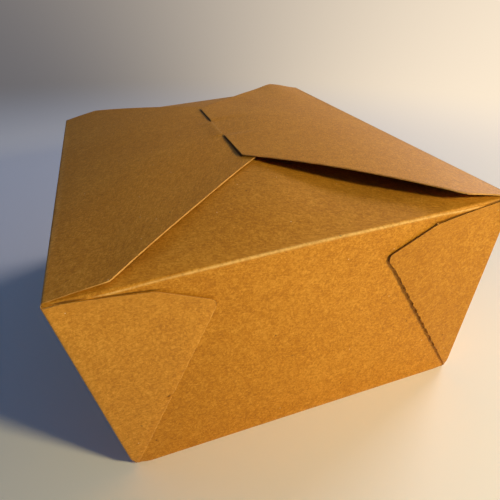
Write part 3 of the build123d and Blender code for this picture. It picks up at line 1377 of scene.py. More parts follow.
    def _end_halves(self, runs: np.ndarray) -> tuple[np.ndarray, np.ndarray]:
        """Half widths of an end flap.

        Args:
            runs: Runs in from the crease.

        Returns:
            Half width of the vault, and of the flap with its rounded corners, at each run.
        """
        root = self.shape.rim_width / 2 - self.end_inset
        tapered = root - runs * math.tan(math.radians(self.end_taper))
        into_corner = np.clip(runs - (self.end_reach - self.end_corner), 0, self.end_corner)
        trim = self.end_corner - np.sqrt(self.end_corner**2 - into_corner**2)
        widened = self.shape.rim_width / 2 - self.rim_inset - root
        flap = tapered - trim + widened * (1 - smooth_step(runs, *self.rim_inset_runs))
        return np.maximum(tapered, flap), flap

    def _vault(self, runs: np.ndarray, x: np.ndarray, half: np.ndarray, dip: float) -> np.ndarray:
        """Levels of an end flap: a vault, lower where the side flaps press on it.

        Args:
            runs: Run in from the crease of each row.
            x: X of each point, as rows by columns.
            half: Half width of the vault at each row.
            dip: Share of the dips at this end.

        Returns:
            Level of each point.
        """
        run = runs[:, None]
        out = (x / half[:, None]) ** 2
        crown = self.crown[0] * run + self.crown[1] * run**2
        tuck = self.tuck[0] * run + self.tuck[1] * run**2
        vault = tuck + (crown - tuck) * (1 - out)
        spread = self.right_dip_spread
        left = self.left_dip * smooth_step(run, *self.left_dip_runs) * out
        right = self.right_dip * smooth_step(run, *self.right_dip_runs) * out / (out + spread) * (1 + spread)
        vault = vault - np.where(x < 0, left, right) * dip
        under_lid = run - self.lid_edge_run + self.lid_edge_slope * (x + self.shape.overhang)
        mouth = stretch(x, self.mouth_span)
        vault = vault - self.mouth_dip * smooth_step(under_lid, *self.mouth_runs) * mouth * dip
        lead = smooth_step(run, *self.vault_runs)
        return self.shape.height + self.end_slope * run * (1 - lead) + vault * lead

    def _end_wall(self, sign: int) -> None:
        """Add a short end wall with its tucked-in flap.

        Args:
            sign: -1 for the near end, 1 for the far end.
        """
        shape, shares = self.shape, np.linspace(-1, 1, 91)
        wall = self._wall_path(shape.base_length / 2, shape.end_flare, shape.height - 1.0, self.rim_stretch)
        level = wall[:, 1]
        wall_half = shape.base_width / 2 + level * shape.side_flare - self._foot(level) - self.clearance
        rim = np.array([shape.rim_length / 2, shape.height])
        inward = rim + np.array([-3, 3 * self.end_slope])
        crease = rounded(wall[-1], rim, inward, shape.crease_radius, CREASE_STEPS)
        fine = np.linspace(self.end_start, self.end_fine, 16)
        runs = np.unique(np.concatenate([fine, np.linspace(self.end_fine, self.end_reach, 36)]))
        vault_half, flap_half = self._end_halves(runs)
        crease_half = np.full(len(crease), shape.rim_width / 2 - self.rim_inset)
        below_rim = slice(len(wall) - self.rim_rows, len(wall))
        covered = slice(0, len(wall) - self.rim_rows // 2)
        flap_row = len(wall) + len(crease)

        x = np.concatenate([wall_half, crease_half, flap_half])[:, None] * shares[None, :]
        z = np.empty_like(x)
        z[:flap_row] = np.concatenate([level, crease[:, 1]])[:, None]
        z[below_rim] = self._rim_levels(x[len(wall) - 1], wall[-1, 1])
        z[flap_row:] = self._vault(runs, x[flap_row:], vault_half, 1.0 if sign < 0 else self.far_dip)
        depth = np.concatenate([wall[:, 0], crease[:, 0], shape.rim_length / 2 - runs])
        depth = np.repeat(depth[:, None], len(shares), axis=1)
        depth[below_rim] = shape.base_length / 2 + z[below_rim] * shape.end_flare
        depth[: len(wall)] -= self._bow(wall, shares)
        depth[covered] -= self._sink(x[covered], z[covered])
        z[flap_row:] += shape.ripple(x[flap_row:], -depth[flap_row:], runs[:, None])
        grid = np.stack([x, -depth, z], axis=2)
        if sign > 0:
            grid = grid[:, ::-1] * np.array([1, -1, 1])
        grid = self._soften(grid[:, ::-1])

        crease_row = len(wall) + CREASE_STEPS // 2
        crease_place = float(lengths(grid, 0)[crease_row, len(shares) // 2])
        wear = band_wear(grid, *self.foot_band, self.end_wear[0])
        wear = wear + band_wear(grid, crease_place, self.end_crease_band, self.end_wear[1])
        # Painted shade: the near wall darker towards its left, where less light falls.
        if sign < 0:
            across = grid[:flap_row, :, 0]
            wear[:flap_row] -= self.wall_painted_shade * (1 - smooth_step(across, *self.wall_painted_shade_span))
        # Painted shade: a dark line along the gap above each web's upper edge.
        wear[:crease_row] -= self.gap_shade_strength * self._painted_gap_shade(grid[:crease_row])
        self.board_mesh.add_sheet(grid, shape.board, np.clip(wear, -1, 1))

    def _web_edge(self, slant: np.ndarray, soft: float) -> tuple[np.ndarray, np.ndarray]:
        """Outline of a web on its end wall.

        Args:
            slant: Distance up the wall.
            soft: How far the tip is rounded.

        Returns:
            Distance of the edge from the middle of the wall, and whether it is folded there.
        """
        shape = self.shape
        top = math.hypot(shape.height, shape.height * shape.end_flare)
        half = shape.rim_width / 2
        tip = (half - self.web_tip[0], top - self.web_tip[1])
        blunt = (tip[0] + self.web_blunt[0], tip[1] + self.web_blunt[1])
        shoulder = (half - self.web_shoulder[0], top - self.web_shoulder[1])
        places = np.array([0.0, tip[1], blunt[1], shoulder[1], top])
        edges = np.array([shape.base_width / 2 - self.web_toe, tip[0], blunt[0], shoulder[0], half])
        spread = np.linspace(-soft, soft, 9)
        near_tip = np.exp(-(((slant - tip[1] - self.tip_place) / self.tip_reach) ** 2))
        sampled = [np.interp(slant + step * near_tip, places, edges) for step in spread]
        return np.mean(sampled, axis=0), slant < tip[1]

    def _web_levels(self) -> np.ndarray:
        """Levels of a web's rings, closest at the foot and round the tip.

        Returns:
            The levels, from the table up.
        """
        tip = self.tip_level
        foot = np.array([0.0, 0.12, 0.35, 0.65, 0.95, 1.6, 2.6, 4.0])
        fold = np.linspace(5.5, tip - 5, 110)
        round_tip = np.linspace(tip - 5, tip + 5, 29)
        upper = np.linspace(tip + 5, self.shape.height - self.web_top, 22)
        return np.unique(np.concatenate([foot, fold, round_tip, upper]))

    def _web_rows(self, corner: Corner) -> list[WebRow]:
        """Outline of a web, level by level.

        Args:
            corner: Which corner.

        Returns:
            A row for each level, from the table up.
        """
        shape, fold, tip = self.shape, self.webs[corner], self.tip_level
        side, end = corner.value
        levels = self._web_levels()
        edge, folded = self._web_edge(levels * math.hypot(1, shape.end_flare), fold.tip_soft)
        rough = fold.rough * stretch(levels, [*self.rough_levels, tip - self.rough_fade, tip])
        long_wave, short_wave, share = self.rough_waves
        waves = np.sin(levels * long_wave + side) + share * np.sin(levels * short_wave + 2 * end)
        edge = edge + rough * waves
        torn = np.zeros_like(levels)
        if fold.notch:
            place, depth = fold.notch
            torn = np.exp(-(((levels - place) / self.notch_height) ** 4))
            edge = edge + depth * torn
        edge = edge + fold.shift * (1 - smooth_step(levels - tip, *self.shift_fade))
        shut = 1 - self.web_shut * smooth_step(levels, tip - self.shut_height, tip)
        lift = fold.lift * smooth_step(levels, *self.lift_levels) * shut
        single = smooth_step(levels, tip, tip + self.single_height)
        ajar = self.web_ajar * smooth_step(levels, tip, shape.height)
        radius, foot = self._corner(levels, corner), self._foot(levels)
        out = shape.base_width / 2 + levels * shape.side_flare - foot
        wall = shape.base_length / 2 + levels * shape.end_flare - foot
        edge = np.minimum(edge, out - radius - self.least_face)
        columns = (levels, out, wall, edge, folded, self._stack(levels), radius, lift, ajar, single, torn)
        return [WebRow(*values) for values in zip(*columns)]

    def _web_ring(self, row: WebRow, fold: WebFold) -> np.ndarray:
        """Ring of a web at one level: round the corner, along the wall to the fold, and back behind it.

        Args:
            row: The web at this level.
            fold: How this web is folded.

        Returns:
            Distance out from the middle, across and along, of each point.
        """

        def stand(share: np.ndarray) -> np.ndarray:
            """How far the web stands off the wall, from 0 at the corner to 1 at its edge."""
            lifted = row.lift * smooth_step(share, *self.lift_span)
            return lifted + row.ajar * smooth_step(share, *self.ajar_span)

        turn = np.linspace(0, math.pi / 2, 7)
        arc_x = row.out - row.radius + row.radius * np.cos(turn)
        arc_y = row.wall + row.stack - row.radius + row.radius * np.sin(turn)
        reach = min(self.fold_reach, 0.5 * (arc_x[-1] - row.edge))
        even = np.linspace(arc_x[-1], row.edge + reach, 12)[1:]
        flat_x = np.concatenate([even, row.edge + reach * np.array(self.near_fold)])
        lifted = stand((row.out - flat_x) / (row.out - row.edge))
        fall = fold.roundness * row.stack * (1 - row.single)
        flat_y = row.wall + row.stack + lifted - fall * np.clip(1 - (flat_x - row.edge) / reach, 0, 1) ** 2
        back = self.clearance + (row.stack - self.shape.board) * row.single
        if row.folded:
            half = (row.stack - fall) / 2
            bend = np.linspace(math.pi / 2, -math.pi / 2, 7)[1:]
            edge_x = row.edge - np.cos(bend) * half
            edge_y = row.wall + lifted[-1] + half + np.sin(bend) * half
        else:
            edge_x = row.edge - np.array([*self.cut_steps, fold.seam_step])
            edge_y = row.wall + lifted[-1] + row.stack - (row.stack - back) * np.array(self.cut_shares)
        back_share = np.linspace(1, 0.1, 14)[1:]
        back_x = row.out - back_share * (row.out - row.edge)
        back_y = row.wall + back + stand(back_share)
        start_y = min(row.wall, arc_y[0] - NUDGE)
        x = np.concatenate([[row.out], arc_x, flat_x, edge_x, back_x])
        y = np.concatenate([[start_y], arc_y, flat_y, edge_y, back_y])
        return np.stack([x, y - self._sink(x, row.level)], axis=1)

    def _web_wear_and_painted_light(self, row: WebRow, fold: WebFold, count: int) -> np.ndarray:
        """Wear, painted sheen and painted shade round a web at one level.

        Args:
            row: The web at this level.
            fold: How this web is folded.
            count: Points in its ring.

        Returns:
            Wear and painted sheen at each point, with painted shade below 0.
        """
        # Painted sheen over the whole web where its pale tone is above 0; below 0 the whole web is darker.
        wear = np.full(count, fold.pale)
        wear[self.corner_points] = self.corner_wear
        if row.folded:
            wear[self.fold_points] = fold.wear
            # Painted shade on the fold's inner side, which faces away from the light.
            if fold.shade:
                wear[self.shade_points] = -fold.shade * float(smooth_step(row.level, *self.shade_levels))
        else:
            wear[self.fold_points] = self.cut_wear
            # Painted shade: a dark line under the web's cut edge, where it stands off the wall.
            wear[self.seam_shade_points] = -fold.seam_painted_shade
        # Painted shade in the notch's tear.
        wear[self.torn_points] -= self.notch_painted_shade * row.torn
        return np.clip(wear, -1, 1)

    def _web(self, corner: Corner) -> None:
        """Add one webbed corner: the side wall turned round the corner and folded back on the end wall.

        Args:
            corner: Which corner.
        """
        fold, rows = self.webs[corner], self._web_rows(corner)
        outlines = np.array([self._web_ring(row, fold) for row in rows]) * np.array(corner.value)
        count = outlines.shape[1]
        levels = np.array([row.level for row in rows])
        heights = np.repeat(levels[:, None], count, axis=1)
        wear = np.array([self._web_wear_and_painted_light(row, fold, count) for row in rows])
        cut = np.zeros((len(rows) - 1, count), bool)
        cut[:, self.cut_cells] = [[not row.folded] for row in rows[1:]]
        solid = self._soften(np.concatenate([outlines, heights[..., None]], axis=2))
        self.board_mesh.add_rings(solid, wear, cut)
        low, high = np.searchsorted(levels, [self.tie_start, self.tip_level - self.tie_end])
        self.fold_lines.append(solid[low:high, self.fold_middle])

    def nick_places(self) -> list[tuple[float, float, float]]:
        """Places of the torn stubs on the slotted flap and the webs.

        Returns:
            Points on the cut edges.
        """
        shape = self.shape
        places = []
        for run, sign in self.nick_runs:
            inward, up = shape.slotted.points(np.array([run]), shape.board / 2)[0]
            x = inward - shape.rim_width / 2
            y = sign * float(shape.flap_reach(np.array(run), self.slotted_end, self.slotted_edge))
            lift = float(shape.ripple(np.array(x), np.array(y), np.array(run)))
            lift = lift - float(self._sag(np.array(run), np.array(float(sign))))
            places.append((x, y, shape.height + up + lift))
        level = shape.height - self.web_shoulder[1] * self.upright
        x = shape.rim_width / 2 - self.web_shoulder[0]
        y = shape.base_length / 2 + level * shape.end_flare + self.web * self.web_nick_depth
        for corner in self.web_nick_corners:
            side, end = corner.value
            places.append((side * x, end * y, level))
        return places

    def build(self) -> bpy.types.Object:
        """Build the folded sheet and put it in place of its solid.

        Returns:
            The finished piece.
        """
        self._base()
        self._left_wall()
        self._end_wall(-1)
        self._right_wall()
        self._end_wall(1)
        for corner in Corner:
            self._web(corner)
        return self.dress(self.board_mesh.make("carton_sheet", self.finishes))

    def dress(self, piece: bpy.types.Object) -> bpy.types.Object:
        """Tie the piece to its body and hide its solid."""
        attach(piece, Body.CARTON.value)
        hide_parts("carton")
        return piece


@dataclass
class LockingFlap:
    """The side flap with the tongue, which swings on the right-hand crease."""

    shape: Shape
    finishes: Sequence[bpy.types.Material]
    edge: float = 91.0
    tongue_width: float = 27.0
    tongue_length: float = 9.0
    tongue_setback: float = 0.2
    tongue_dive: float = 0.6
    tongue_bend: float = 45.0
    tongue_bend_radius: float = 0.9
    tongue_relief: float = 0.4
    tongue_tip: float = 4.0
    bend_wear: tuple[float, float, float] = (0.9, 0.8, 0.35)
    settle: float = 0.65
    settle_start: float = 30.0
    dive_start: float = 60.0
    near_lift: float = 0.1
    far_start: float = 0.3
    far_drop: float = 1.1
    far_drop_runs: tuple[float, float, float, float] = (22.0, 42.0, 60.0, 82.0)
    far_lift: float = 0.6
    far_lift_runs: tuple[float, float, float, float] = (4.0, 16.0, 18.0, 34.0)
    nick_runs: tuple[tuple[float, int], ...] = ((11.0, -1), (20.0, -1), (79.5, -1), (20.0, 1), (52.0, 1))
    board_mesh: BoardMesh = field(default_factory=BoardMesh)

    @property
    def end_run(self) -> float:
        """Run of the free edge."""
        return self.shape.locking.run

    @property
    def root_run(self) -> float:
        """Run where the tongue starts to bend."""
        return self.end_run - self.tongue_setback

    def _reach(self, runs: np.ndarray) -> np.ndarray:
        """Half length of the flap at each run."""
        return self.shape.flap_reach(runs, self.end_run, self.edge)

    def _dive(self, along: np.ndarray) -> np.ndarray:
        """How far the free edge dips where the tongue draws it down."""
        from_edge = np.abs(along - self.shape.tongue_shift) - self.tongue_width / 2
        return self.tongue_dive * (1 - smooth_step(from_edge, -1.0, 5.0))

    def _lid_points(self, runs: np.ndarray, along: np.ndarray) -> np.ndarray:
        """Upper face of the flap.

        Args:
            runs: Run of each row.
            along: Y of each point, as rows by columns.

        Returns:
            Points, as rows by columns by three.
        """
        hinge_x, hinge_z = self.shape.hinge
        section = self.shape.locking.points(runs, -self.shape.board / 2)
        x = np.repeat((hinge_x - section[:, 0])[:, None], along.shape[1], axis=1)
        z = np.repeat((hinge_z + section[:, 1])[:, None], along.shape[1], axis=1)
        free = smooth_step(runs, self.settle_start, self.end_run)[:, None]
        near = smooth_step(-along, self.tongue_width / 2, self.edge / 2)
        z = z + free * (near * self.near_lift - self.settle)
        z = z - self._dive(along) * smooth_step(runs, self.dive_start, self.end_run)[:, None]
        far = smooth_step(along / self._reach(runs)[:, None], self.far_start, 1.0)
        drop = self.far_drop * stretch(runs, self.far_drop_runs)
        lift = self.far_lift * stretch(runs, self.far_lift_runs)
        z = z + far * (lift - drop)[:, None]
        z = z + self.shape.ripple(x, along, runs[:, None])
        return np.stack([x, along, z], axis=2)

    def _panel(self) -> None:
        """Add the flap up to the tongue's bend."""
        runs = np.concatenate([np.linspace(0, 3, 4), np.linspace(4.5, self.root_run, 44)])
        shares = np.linspace(-1, 1, 75)
        along = self._reach(runs)[:, None] * shares[None, :]
        self.board_mesh.add_sheet(self._lid_points(runs, along)[:, ::-1], self.shape.board)

    def _shoulders(self) -> None:
        """Add the edge on both sides of the tongue."""
        runs = np.linspace(self.root_run, self.end_run, 5)
        inner = self.tongue_width / 2 + self.tongue_relief
        shares = np.linspace(0, 1, 24)
        for sign in (-1, 1):
            along = sign * (inner + (self._reach(runs)[:, None] - inner) * shares[None, :])
            grid = self._lid_points(runs, along)
            self.board_mesh.add_sheet(grid if sign < 0 else grid[:, ::-1], self.shape.board)

    def _tongue(self) -> None:
        """Add the tongue, bent down through the slot."""
        arch, board = self.shape.locking, self.shape.board
        hinge_x, hinge_z = self.shape.hinge
        start = arch.points(np.array([self.root_run]))[0]
        slope = arch.slope(self.root_run)
        radius = self.tongue_bend_radius
        bend = start - np.array([-math.sin(slope), math.cos(slope)]) * radius
        turns = slope - np.linspace(0, math.radians(self.tongue_bend), 9)
        arc = bend + np.stack([-np.sin(turns), np.cos(turns)], axis=1) * (radius + board / 2)
        ahead = np.array([math.cos(turns[-1]), math.sin(turns[-1])])
        tip = self.tongue_length - self.tongue_tip
        round_tip = tip + self.tongue_tip * np.sin(np.linspace(0, 1.5, 9))
        steps = np.concatenate([np.linspace(0, tip, 6)[1:], round_tip[1:]])
        section = np.concatenate([arc, arc[-1] + steps[:, None] * ahead])
        into_tip = np.clip(steps - tip, 0, None)
        trim = self.tongue_tip - np.sqrt(np.clip(self.tongue_tip**2 - into_tip**2, 0, None))
        half = self.tongue_width / 2 - np.concatenate([np.zeros(len(arc)), trim])
        shares = np.linspace(-1, 1, 25)
        y = half[:, None] * shares[None, :]
        x = np.repeat((hinge_x - section[:, 0])[:, None], len(shares), axis=1)
        z = np.repeat((hinge_z + section[:, 1])[:, None], len(shares), axis=1)
        z = z + self.shape.ripple(x, y, self.end_run)
        released = np.concatenate([np.zeros(len(arc)), steps / steps[-1]])
        z = z - (self.settle + self._dive(y)) * (1 - released)[:, None]
        grid = np.stack([x, y, z], axis=2)[:, ::-1]
        self.board_mesh.add_sheet(grid, board, band_wear(grid, *self.bend_wear))

    def nick_places(self) -> list[tuple[float, float, float]]:
        """Places of the torn stubs on the flap's edges.

        Returns:
            Points on the cut edges.
        """
        places = []
        for run, sign in self.nick_runs:
            runs = np.array([run])
            along = sign * self._reach(runs)[:, None]
            x, y, z = self._lid_points(runs, along)[0, 0]
            places.append((float(x), float(y), float(z) - self.shape.board / 2))
        return places

    def build(self) -> bpy.types.Object:
        """Build the flap and put it in place of its solid.

        Returns:
            The finished piece.
        """
        self._panel()
        self._shoulders()
        self._tongue()
        return self.dress(self.board_mesh.make("locking_flap_sheet", self.finishes))

    def dress(self, piece: bpy.types.Object) -> bpy.types.Object:
        """Tie the piece to its body and hide its solid."""
        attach(piece, Body.LOCKING_FLAP.value)
        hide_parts("locking_flap")
        return piece


# Pieces made by geometry nodes


class GeometryTree:
    """A geometry node tree with named inputs, run once on a start mesh."""

    def __init__(self, name: str, inputs: dict[str, tuple[str, Any]]) -> None:
        """Make the tree.

        Args:
            name: The tree's name.
            inputs: Socket type and default value of each named input.
        """
        self.tree = bpy.data.node_groups.new(name, "GeometryNodeTree")
        self.tree.is_modifier = True
        self.tree.interface.new_socket("Geometry", in_out="INPUT", socket_type="NodeSocketGeometry")
        self.tree.interface.new_socket("Geometry", in_out="OUTPUT", socket_type="NodeSocketGeometry")
        self.values = {}
        for label, (kind, value) in inputs.items():
            socket = self.tree.interface.new_socket(label, in_out="INPUT", socket_type=kind)
            self.values[socket.identifier] = value
        self.nodes = Nodes(self.tree)
        self.start = self.nodes.add("NodeGroupInput")

    def input(self, label: str) -> Field:
        """A named input, as a field."""
        return self.start.output(label)

    def finish(self, geometry: Field) -> None:
        """Realize the instances, mark the sheet and set the material.

        Args:
            geometry: What the tree made.
        """
        nodes = self.nodes
        marked = nodes.add("GeometryNodeRealizeInstances", None, {0: geometry})
        marks = {
            "blank": ("FLOAT_VECTOR", nodes.add("GeometryNodeInputPosition")),
            "crease": ("FLOAT", self.input("Wear")),
        }
        for name, (kind, value) in marks.items():
            marked = nodes.add(
                "GeometryNodeStoreNamedAttribute",
                {"data_type": kind, "domain": "POINT"},
                {"Geometry": marked, "Name": name, "Value": value},
            )
        smooth = nodes.add("GeometryNodeSetShadeSmooth", None, {"Geometry": marked})
        inputs = {"Geometry": smooth, "Material": self.input("Material")}
        nodes.add("NodeGroupOutput", None, {0: nodes.add("GeometryNodeSetMaterial", None, inputs)})

    def run(self, name: str, mesh: bpy.types.Mesh) -> bpy.types.Object:
        """Run the tree.

        Args:
            name: The piece's name.
            mesh: The mesh that the tree starts from.

        Returns:
            An object with the plain mesh that the tree made.
        """
        piece = put(name, mesh)
        modifier = piece.modifiers.new(self.tree.name, "NODES")
        modifier.node_group = self.tree
        for identifier, value in self.values.items():
            modifier[identifier] = value
        graph = bpy.context.evaluated_depsgraph_get()
        made = bpy.data.meshes.new_from_object(piece.evaluated_get(graph), depsgraph=graph)
        piece.modifiers.remove(modifier)
        piece.data = made
        made.name = name
        return piece


@dataclass
class HingeCrease:
    """Round bead of the crease that the locking flap swings on."""

    shape: Shape
    finish: bpy.types.Material
    radius: float = 0.42
    overlap: float = 0.5
    unevenness: float = 0.12
    wear: float = 0.75

    def build(self) -> bpy.types.Object:
        """Build the bead along the right-hand rim.

        Returns:
            The finished piece.
        """
        tree = GeometryTree(
            "crease_bead",
            {
                "Radius": ("NodeSocketFloat", self.radius * MM),
                "Unevenness": ("NodeSocketFloat", self.unevenness),
                "Wear": ("NodeSocketFloat", self.wear),
                "Material": ("NodeSocketMaterial", self.finish),
            },
        )
        nodes = tree.nodes
        line = nodes.add("GeometryNodeMeshToCurve", None, {"Mesh": tree.input("Geometry")})
        line = nodes.add("GeometryNodeResampleCurve", None, {"Curve": line, "Count": 220})
        noise = nodes.add("ShaderNodeTexNoise", None, {"Scale": 70.0, "Detail": 2.0})
        swell = 1 - tree.input("Unevenness") + noise * tree.input("Unevenness")
        inputs = {"Resolution": 10, "Radius": tree.input("Radius")}
        ring = nodes.add("GeometryNodeCurvePrimitiveCircle", None, inputs)
        inputs = {"Curve": line, "Profile Curve": ring, "Fill Caps": True, "Scale": swell}
        bead = nodes.add("GeometryNodeCurveToMesh", None, inputs)
        tree.finish(bead)
        x, z = self.shape.hinge
        reach = self.shape.flap_length / 2 + self.overlap
        mesh = bpy.data.meshes.new("hinge_line")
        mesh.from_pydata([(x * MM, -reach * MM, z * MM), (x * MM, reach * MM, z * MM)], [(0, 1)], [])
        piece = tree.run("hinge_crease", mesh)
        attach(piece, Body.CARTON.value)
        return piece


@dataclass
class EdgeNicks:
    """Torn stubs on the die-cut edges, where ties held the blank in its sheet."""

    body: Body
    places: Sequence[tuple[float, float, float]]
    finish: bpy.types.Material
    size: float = 0.42
    flatness: float = 0.55
    wear: float = 0.9
    seed: int = 7

    def build(self) -> bpy.types.Object:
        """Build one stub at each place.

        Returns:
            The finished piece.
        """
        tree = GeometryTree(
            "edge_nicks",
            {
                "Size": ("NodeSocketFloat", self.size * MM),
                "Flatness": ("NodeSocketFloat", self.flatness),
                "Seed": ("NodeSocketInt", self.seed),
                "Wear": ("NodeSocketFloat", self.wear),
                "Material": ("NodeSocketMaterial", self.finish),
            },
        )
        nodes = tree.nodes
        points = nodes.add("GeometryNodeMeshToPoints", None, {"Mesh": tree.input("Geometry")})
        stub = nodes.add("GeometryNodeMeshIcoSphere", None, {"Radius": tree.input("Size"), "Subdivisions": 2})
        turn = nodes.add(
            "FunctionNodeRandomValue",
            {"data_type": "FLOAT_VECTOR"},
            {"Min": (0.0, 0.0, 0.0), "Max": (0.3, 0.3, 6.28), "Seed": tree.input("Seed")},
        )
        inputs = {2: 0.75, 3: 1.3, "Seed": tree.input("Seed")}
        length = nodes.add("FunctionNodeRandomValue", {"data_type": "FLOAT"}, inputs, out=1)
        inputs = {0: length, 1: length * 0.8, 2: tree.input("Flatness")}
        scale = nodes.add("ShaderNodeCombineXYZ", None, inputs)
        stubs = nodes.add(
            "GeometryNodeInstanceOnPoints",
            None,
            {"Points": points, "Instance": stub, "Rotation": turn, "Scale": scale},
        )
        tree.finish(stubs)
        mesh = bpy.data.meshes.new("nick_places")
        mesh.from_pydata([tuple(value * MM for value in place) for place in self.places], [], [])
        piece = tree.run(f"{self.body.value}_edge_nicks", mesh)
        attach(piece, self.body.value)
        return piece


@dataclass
class FoldTies:
    """Short uncut ties that stand up along the cut creases of the corner webs."""

    paths: Sequence[np.ndarray]
    finish: bpy.types.Material
    spacing: float = 2.3
    size: tuple[float, float] = (0.5, 0.16)
    wear: float = 0.3
    seed: int = 11

    def build(self) -> bpy.types.Object:
        """Build the ties along every fold.

        Returns:
            The finished piece.
        """
        tree = GeometryTree(
            "fold_ties",
            {
                "Spacing": ("NodeSocketFloat", self.spacing * MM),
                "Half Length": ("NodeSocketFloat", self.size[0] * MM),
                "Half Width": ("NodeSocketFloat", self.size[1] * MM),
                "Seed": ("NodeSocketInt", self.seed),
                "Wear": ("NodeSocketFloat", self.wear),
                "Material": ("NodeSocketMaterial", self.finish),
            },
        )
        nodes = tree.nodes
        line = nodes.add("GeometryNodeMeshToCurve", None, {"Mesh": tree.input("Geometry")})
        inputs = {"Curve": line, "Length": tree.input("Spacing")}
        points = nodes.add("GeometryNodeCurveToPoints", {"mode": "LENGTH"}, inputs)
        tie = nodes.add("GeometryNodeMeshIcoSphere", None, {"Radius": 1.0, "Subdivisions": 1})
        inputs = {2: 0.35, 3: 1.25, "Seed": tree.input("Seed")}
        growth = nodes.add("FunctionNodeRandomValue", {"data_type": "FLOAT"}, inputs, out=1)
        width, length = tree.input("Half Width"), tree.input("Half Length")
        scale = nodes.add("ShaderNodeCombineXYZ", None, {0: width, 1: width * growth, 2: length * growth})
        inputs = {"Points": points, "Instance": tie, "Rotation": points.output("Rotation"), "Scale": scale}
        ties = nodes.add("GeometryNodeInstanceOnPoints", None, inputs)
        tree.finish(ties)
        corners, links = [], []
        for path in self.paths:
            first = len(corners)
            corners.extend(tuple(point) for point in (path * MM).tolist())
            links.extend((first + i, first + i + 1) for i in range(len(path) - 1))
        mesh = bpy.data.meshes.new("fold_lines")
        mesh.from_pydata(corners, links, [])
        piece = tree.run("fold_ties", mesh)
        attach(piece, Body.CARTON.value)
        return piece


# Table, light and camera


@dataclass(frozen=True)
class Lamp:
    """A soft square lamp aimed at the carton: place and size in metres, power in watts."""

    name: str
    place: tuple[float, float, float]
    size: float
    power: float
    colour: Colour
    target: tuple[float, float, float] = (0.0, 0.0, 0.06)

    def build(self) -> bpy.types.Object:
        """Add the lamp.

        Returns:
            The lamp.
        """
        light = bpy.data.lights.new(self.name, "AREA")
        light.size = self.size
        light.energy = self.power
        light.color = self.colour
        lamp = put(self.name, light)
        lamp.location = self.place
        aim = Vector(self.target) - Vector(self.place)
        lamp.rotation_euler = aim.to_track_quat("-Z", "Y").to_euler()
        return lamp


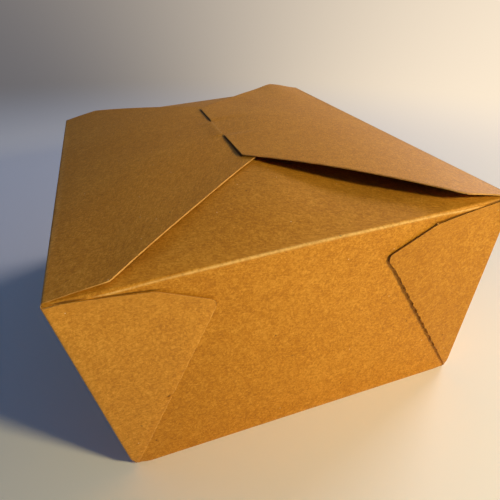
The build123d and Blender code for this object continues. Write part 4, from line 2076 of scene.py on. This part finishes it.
@dataclass
class Studio:
    """Pale table, soft light and the photograph's camera."""

    backdrop: Backdrop = field(default_factory=Backdrop)
    lamps: tuple[Lamp, ...] = (
        Lamp("key", (0.31, -0.49, 0.28), 0.07, 2.74, (1.0, 0.88, 0.46)),
        Lamp("right", (1.10, 0.45, 0.57), 0.6, 8.3, (1.0, 0.95, 0.94)),
        Lamp("left", (-1.0, 0.55, 0.30), 0.5, 0.9, (0.25, 0.58, 1.0)),
    )
    sky_colour: Colour = (0.32, 0.55, 1.0)
    sky_strength: float = 0.138
    table_size: float = 60.0
    camera_place: tuple[float, float, float] = (-0.0531188, -0.250945, 0.172851)
    yaw: float = 0.293344
    pitch: float = 0.406454
    roll: float = 0.0762583
    focal: float = 511.855
    middle: tuple[float, float] = (270.019, 189.918)
    picture: float = 500.0
    sensor: float = 36.0

    def table(self) -> bpy.types.Object:
        """Add the table top.

        Returns:
            The table, marked as stage.
        """
        half = self.table_size / 2
        mesh = bpy.data.meshes.new("table")
        corners = [(-half, -half, 0), (half, -half, 0), (half, half, 0), (-half, half, 0)]
        mesh.from_pydata(corners, [], [(0, 1, 2, 3)])
        mesh.materials.append(PaleTable(backdrop=self.backdrop).make())
        table = put("table", mesh)
        return table

    def sky(self) -> None:
        """Set the even light from all round, seen as the backdrop."""
        world = bpy.data.worlds.new("studio")
        world.use_nodes = True
        nodes = Nodes(world.node_tree)
        ray = nodes.add("ShaderNodeTexCoord", None, None, out="Generated")
        across, distance = self.backdrop.spread(nodes, ray)
        inputs = {"Color": opaque(self.sky_colour), "Strength": self.sky_strength}
        light = nodes.add("ShaderNodeBackground", None, inputs)
        seen_colour = self.backdrop.colour(nodes, across, distance)
        seen = nodes.add("ShaderNodeBackground", None, {"Color": seen_colour, "Strength": 1.0})
        surface = nodes.add("ShaderNodeMixShader", None, {0: self.backdrop.shown(nodes), 1: light, 2: seen})
        nodes.add("ShaderNodeOutputWorld", None, {"Surface": surface})
        bpy.context.scene.world = world

    def camera(self) -> bpy.types.Object:
        """Add the camera, at the photograph's viewing angle.

        Returns:
            The camera.
        """
        forward = Vector(
            (
                math.sin(self.yaw) * math.cos(self.pitch),
                math.cos(self.yaw) * math.cos(self.pitch),
                -math.sin(self.pitch),
            )
        )
        level = Vector((math.cos(self.yaw), -math.sin(self.yaw), 0.0))
        down = forward.cross(level)
        right = level * math.cos(self.roll) + down * math.sin(self.roll)
        up = level * math.sin(self.roll) - down * math.cos(self.roll)
        data = bpy.data.cameras.new("camera")
        data.sensor_width = self.sensor
        data.lens = self.focal / self.picture * self.sensor
        data.shift_x = 0.5 - self.middle[0] / self.picture
        data.shift_y = self.middle[1] / self.picture - 0.5
        data.clip_start = 0.01
        camera = put("camera", data)
        turn = Matrix((right, up, -forward)).transposed().to_4x4()
        camera.matrix_world = Matrix.Translation(self.camera_place) @ turn
        bpy.context.scene.camera = camera
        return camera

    def build(self) -> None:
        """Add the table, the light and the camera."""
        self.table()
        for lamp in self.lamps:
            lamp.build()
        self.sky()
        self.camera()
        bpy.context.scene.view_settings.view_transform = "Standard"


def main() -> None:
    """Build every piece in order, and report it."""
    logging.basicConfig(level=logging.INFO, format="%(name)s: %(message)s")
    shape = Shape()
    finishes = [KraftFace().make(), CutEdge().make(), KraftLining().make()]
    carton, flap = Carton(shape, finishes), LockingFlap(shape, finishes)
    pieces = [
        carton.build(),
        flap.build(),
        HingeCrease(shape, finishes[0]).build(),
        FoldTies(carton.fold_lines, finishes[0]).build(),
        EdgeNicks(Body.CARTON, carton.nick_places(), finishes[1]).build(),
        EdgeNicks(Body.LOCKING_FLAP, flap.nick_places(), finishes[1], seed=19).build(),
    ]
    for piece in pieces:
        LOG.info("%s: %d faces", piece.name, len(piece.data.polygons))
    Studio().build()


if __name__ == "__main__":
    main()
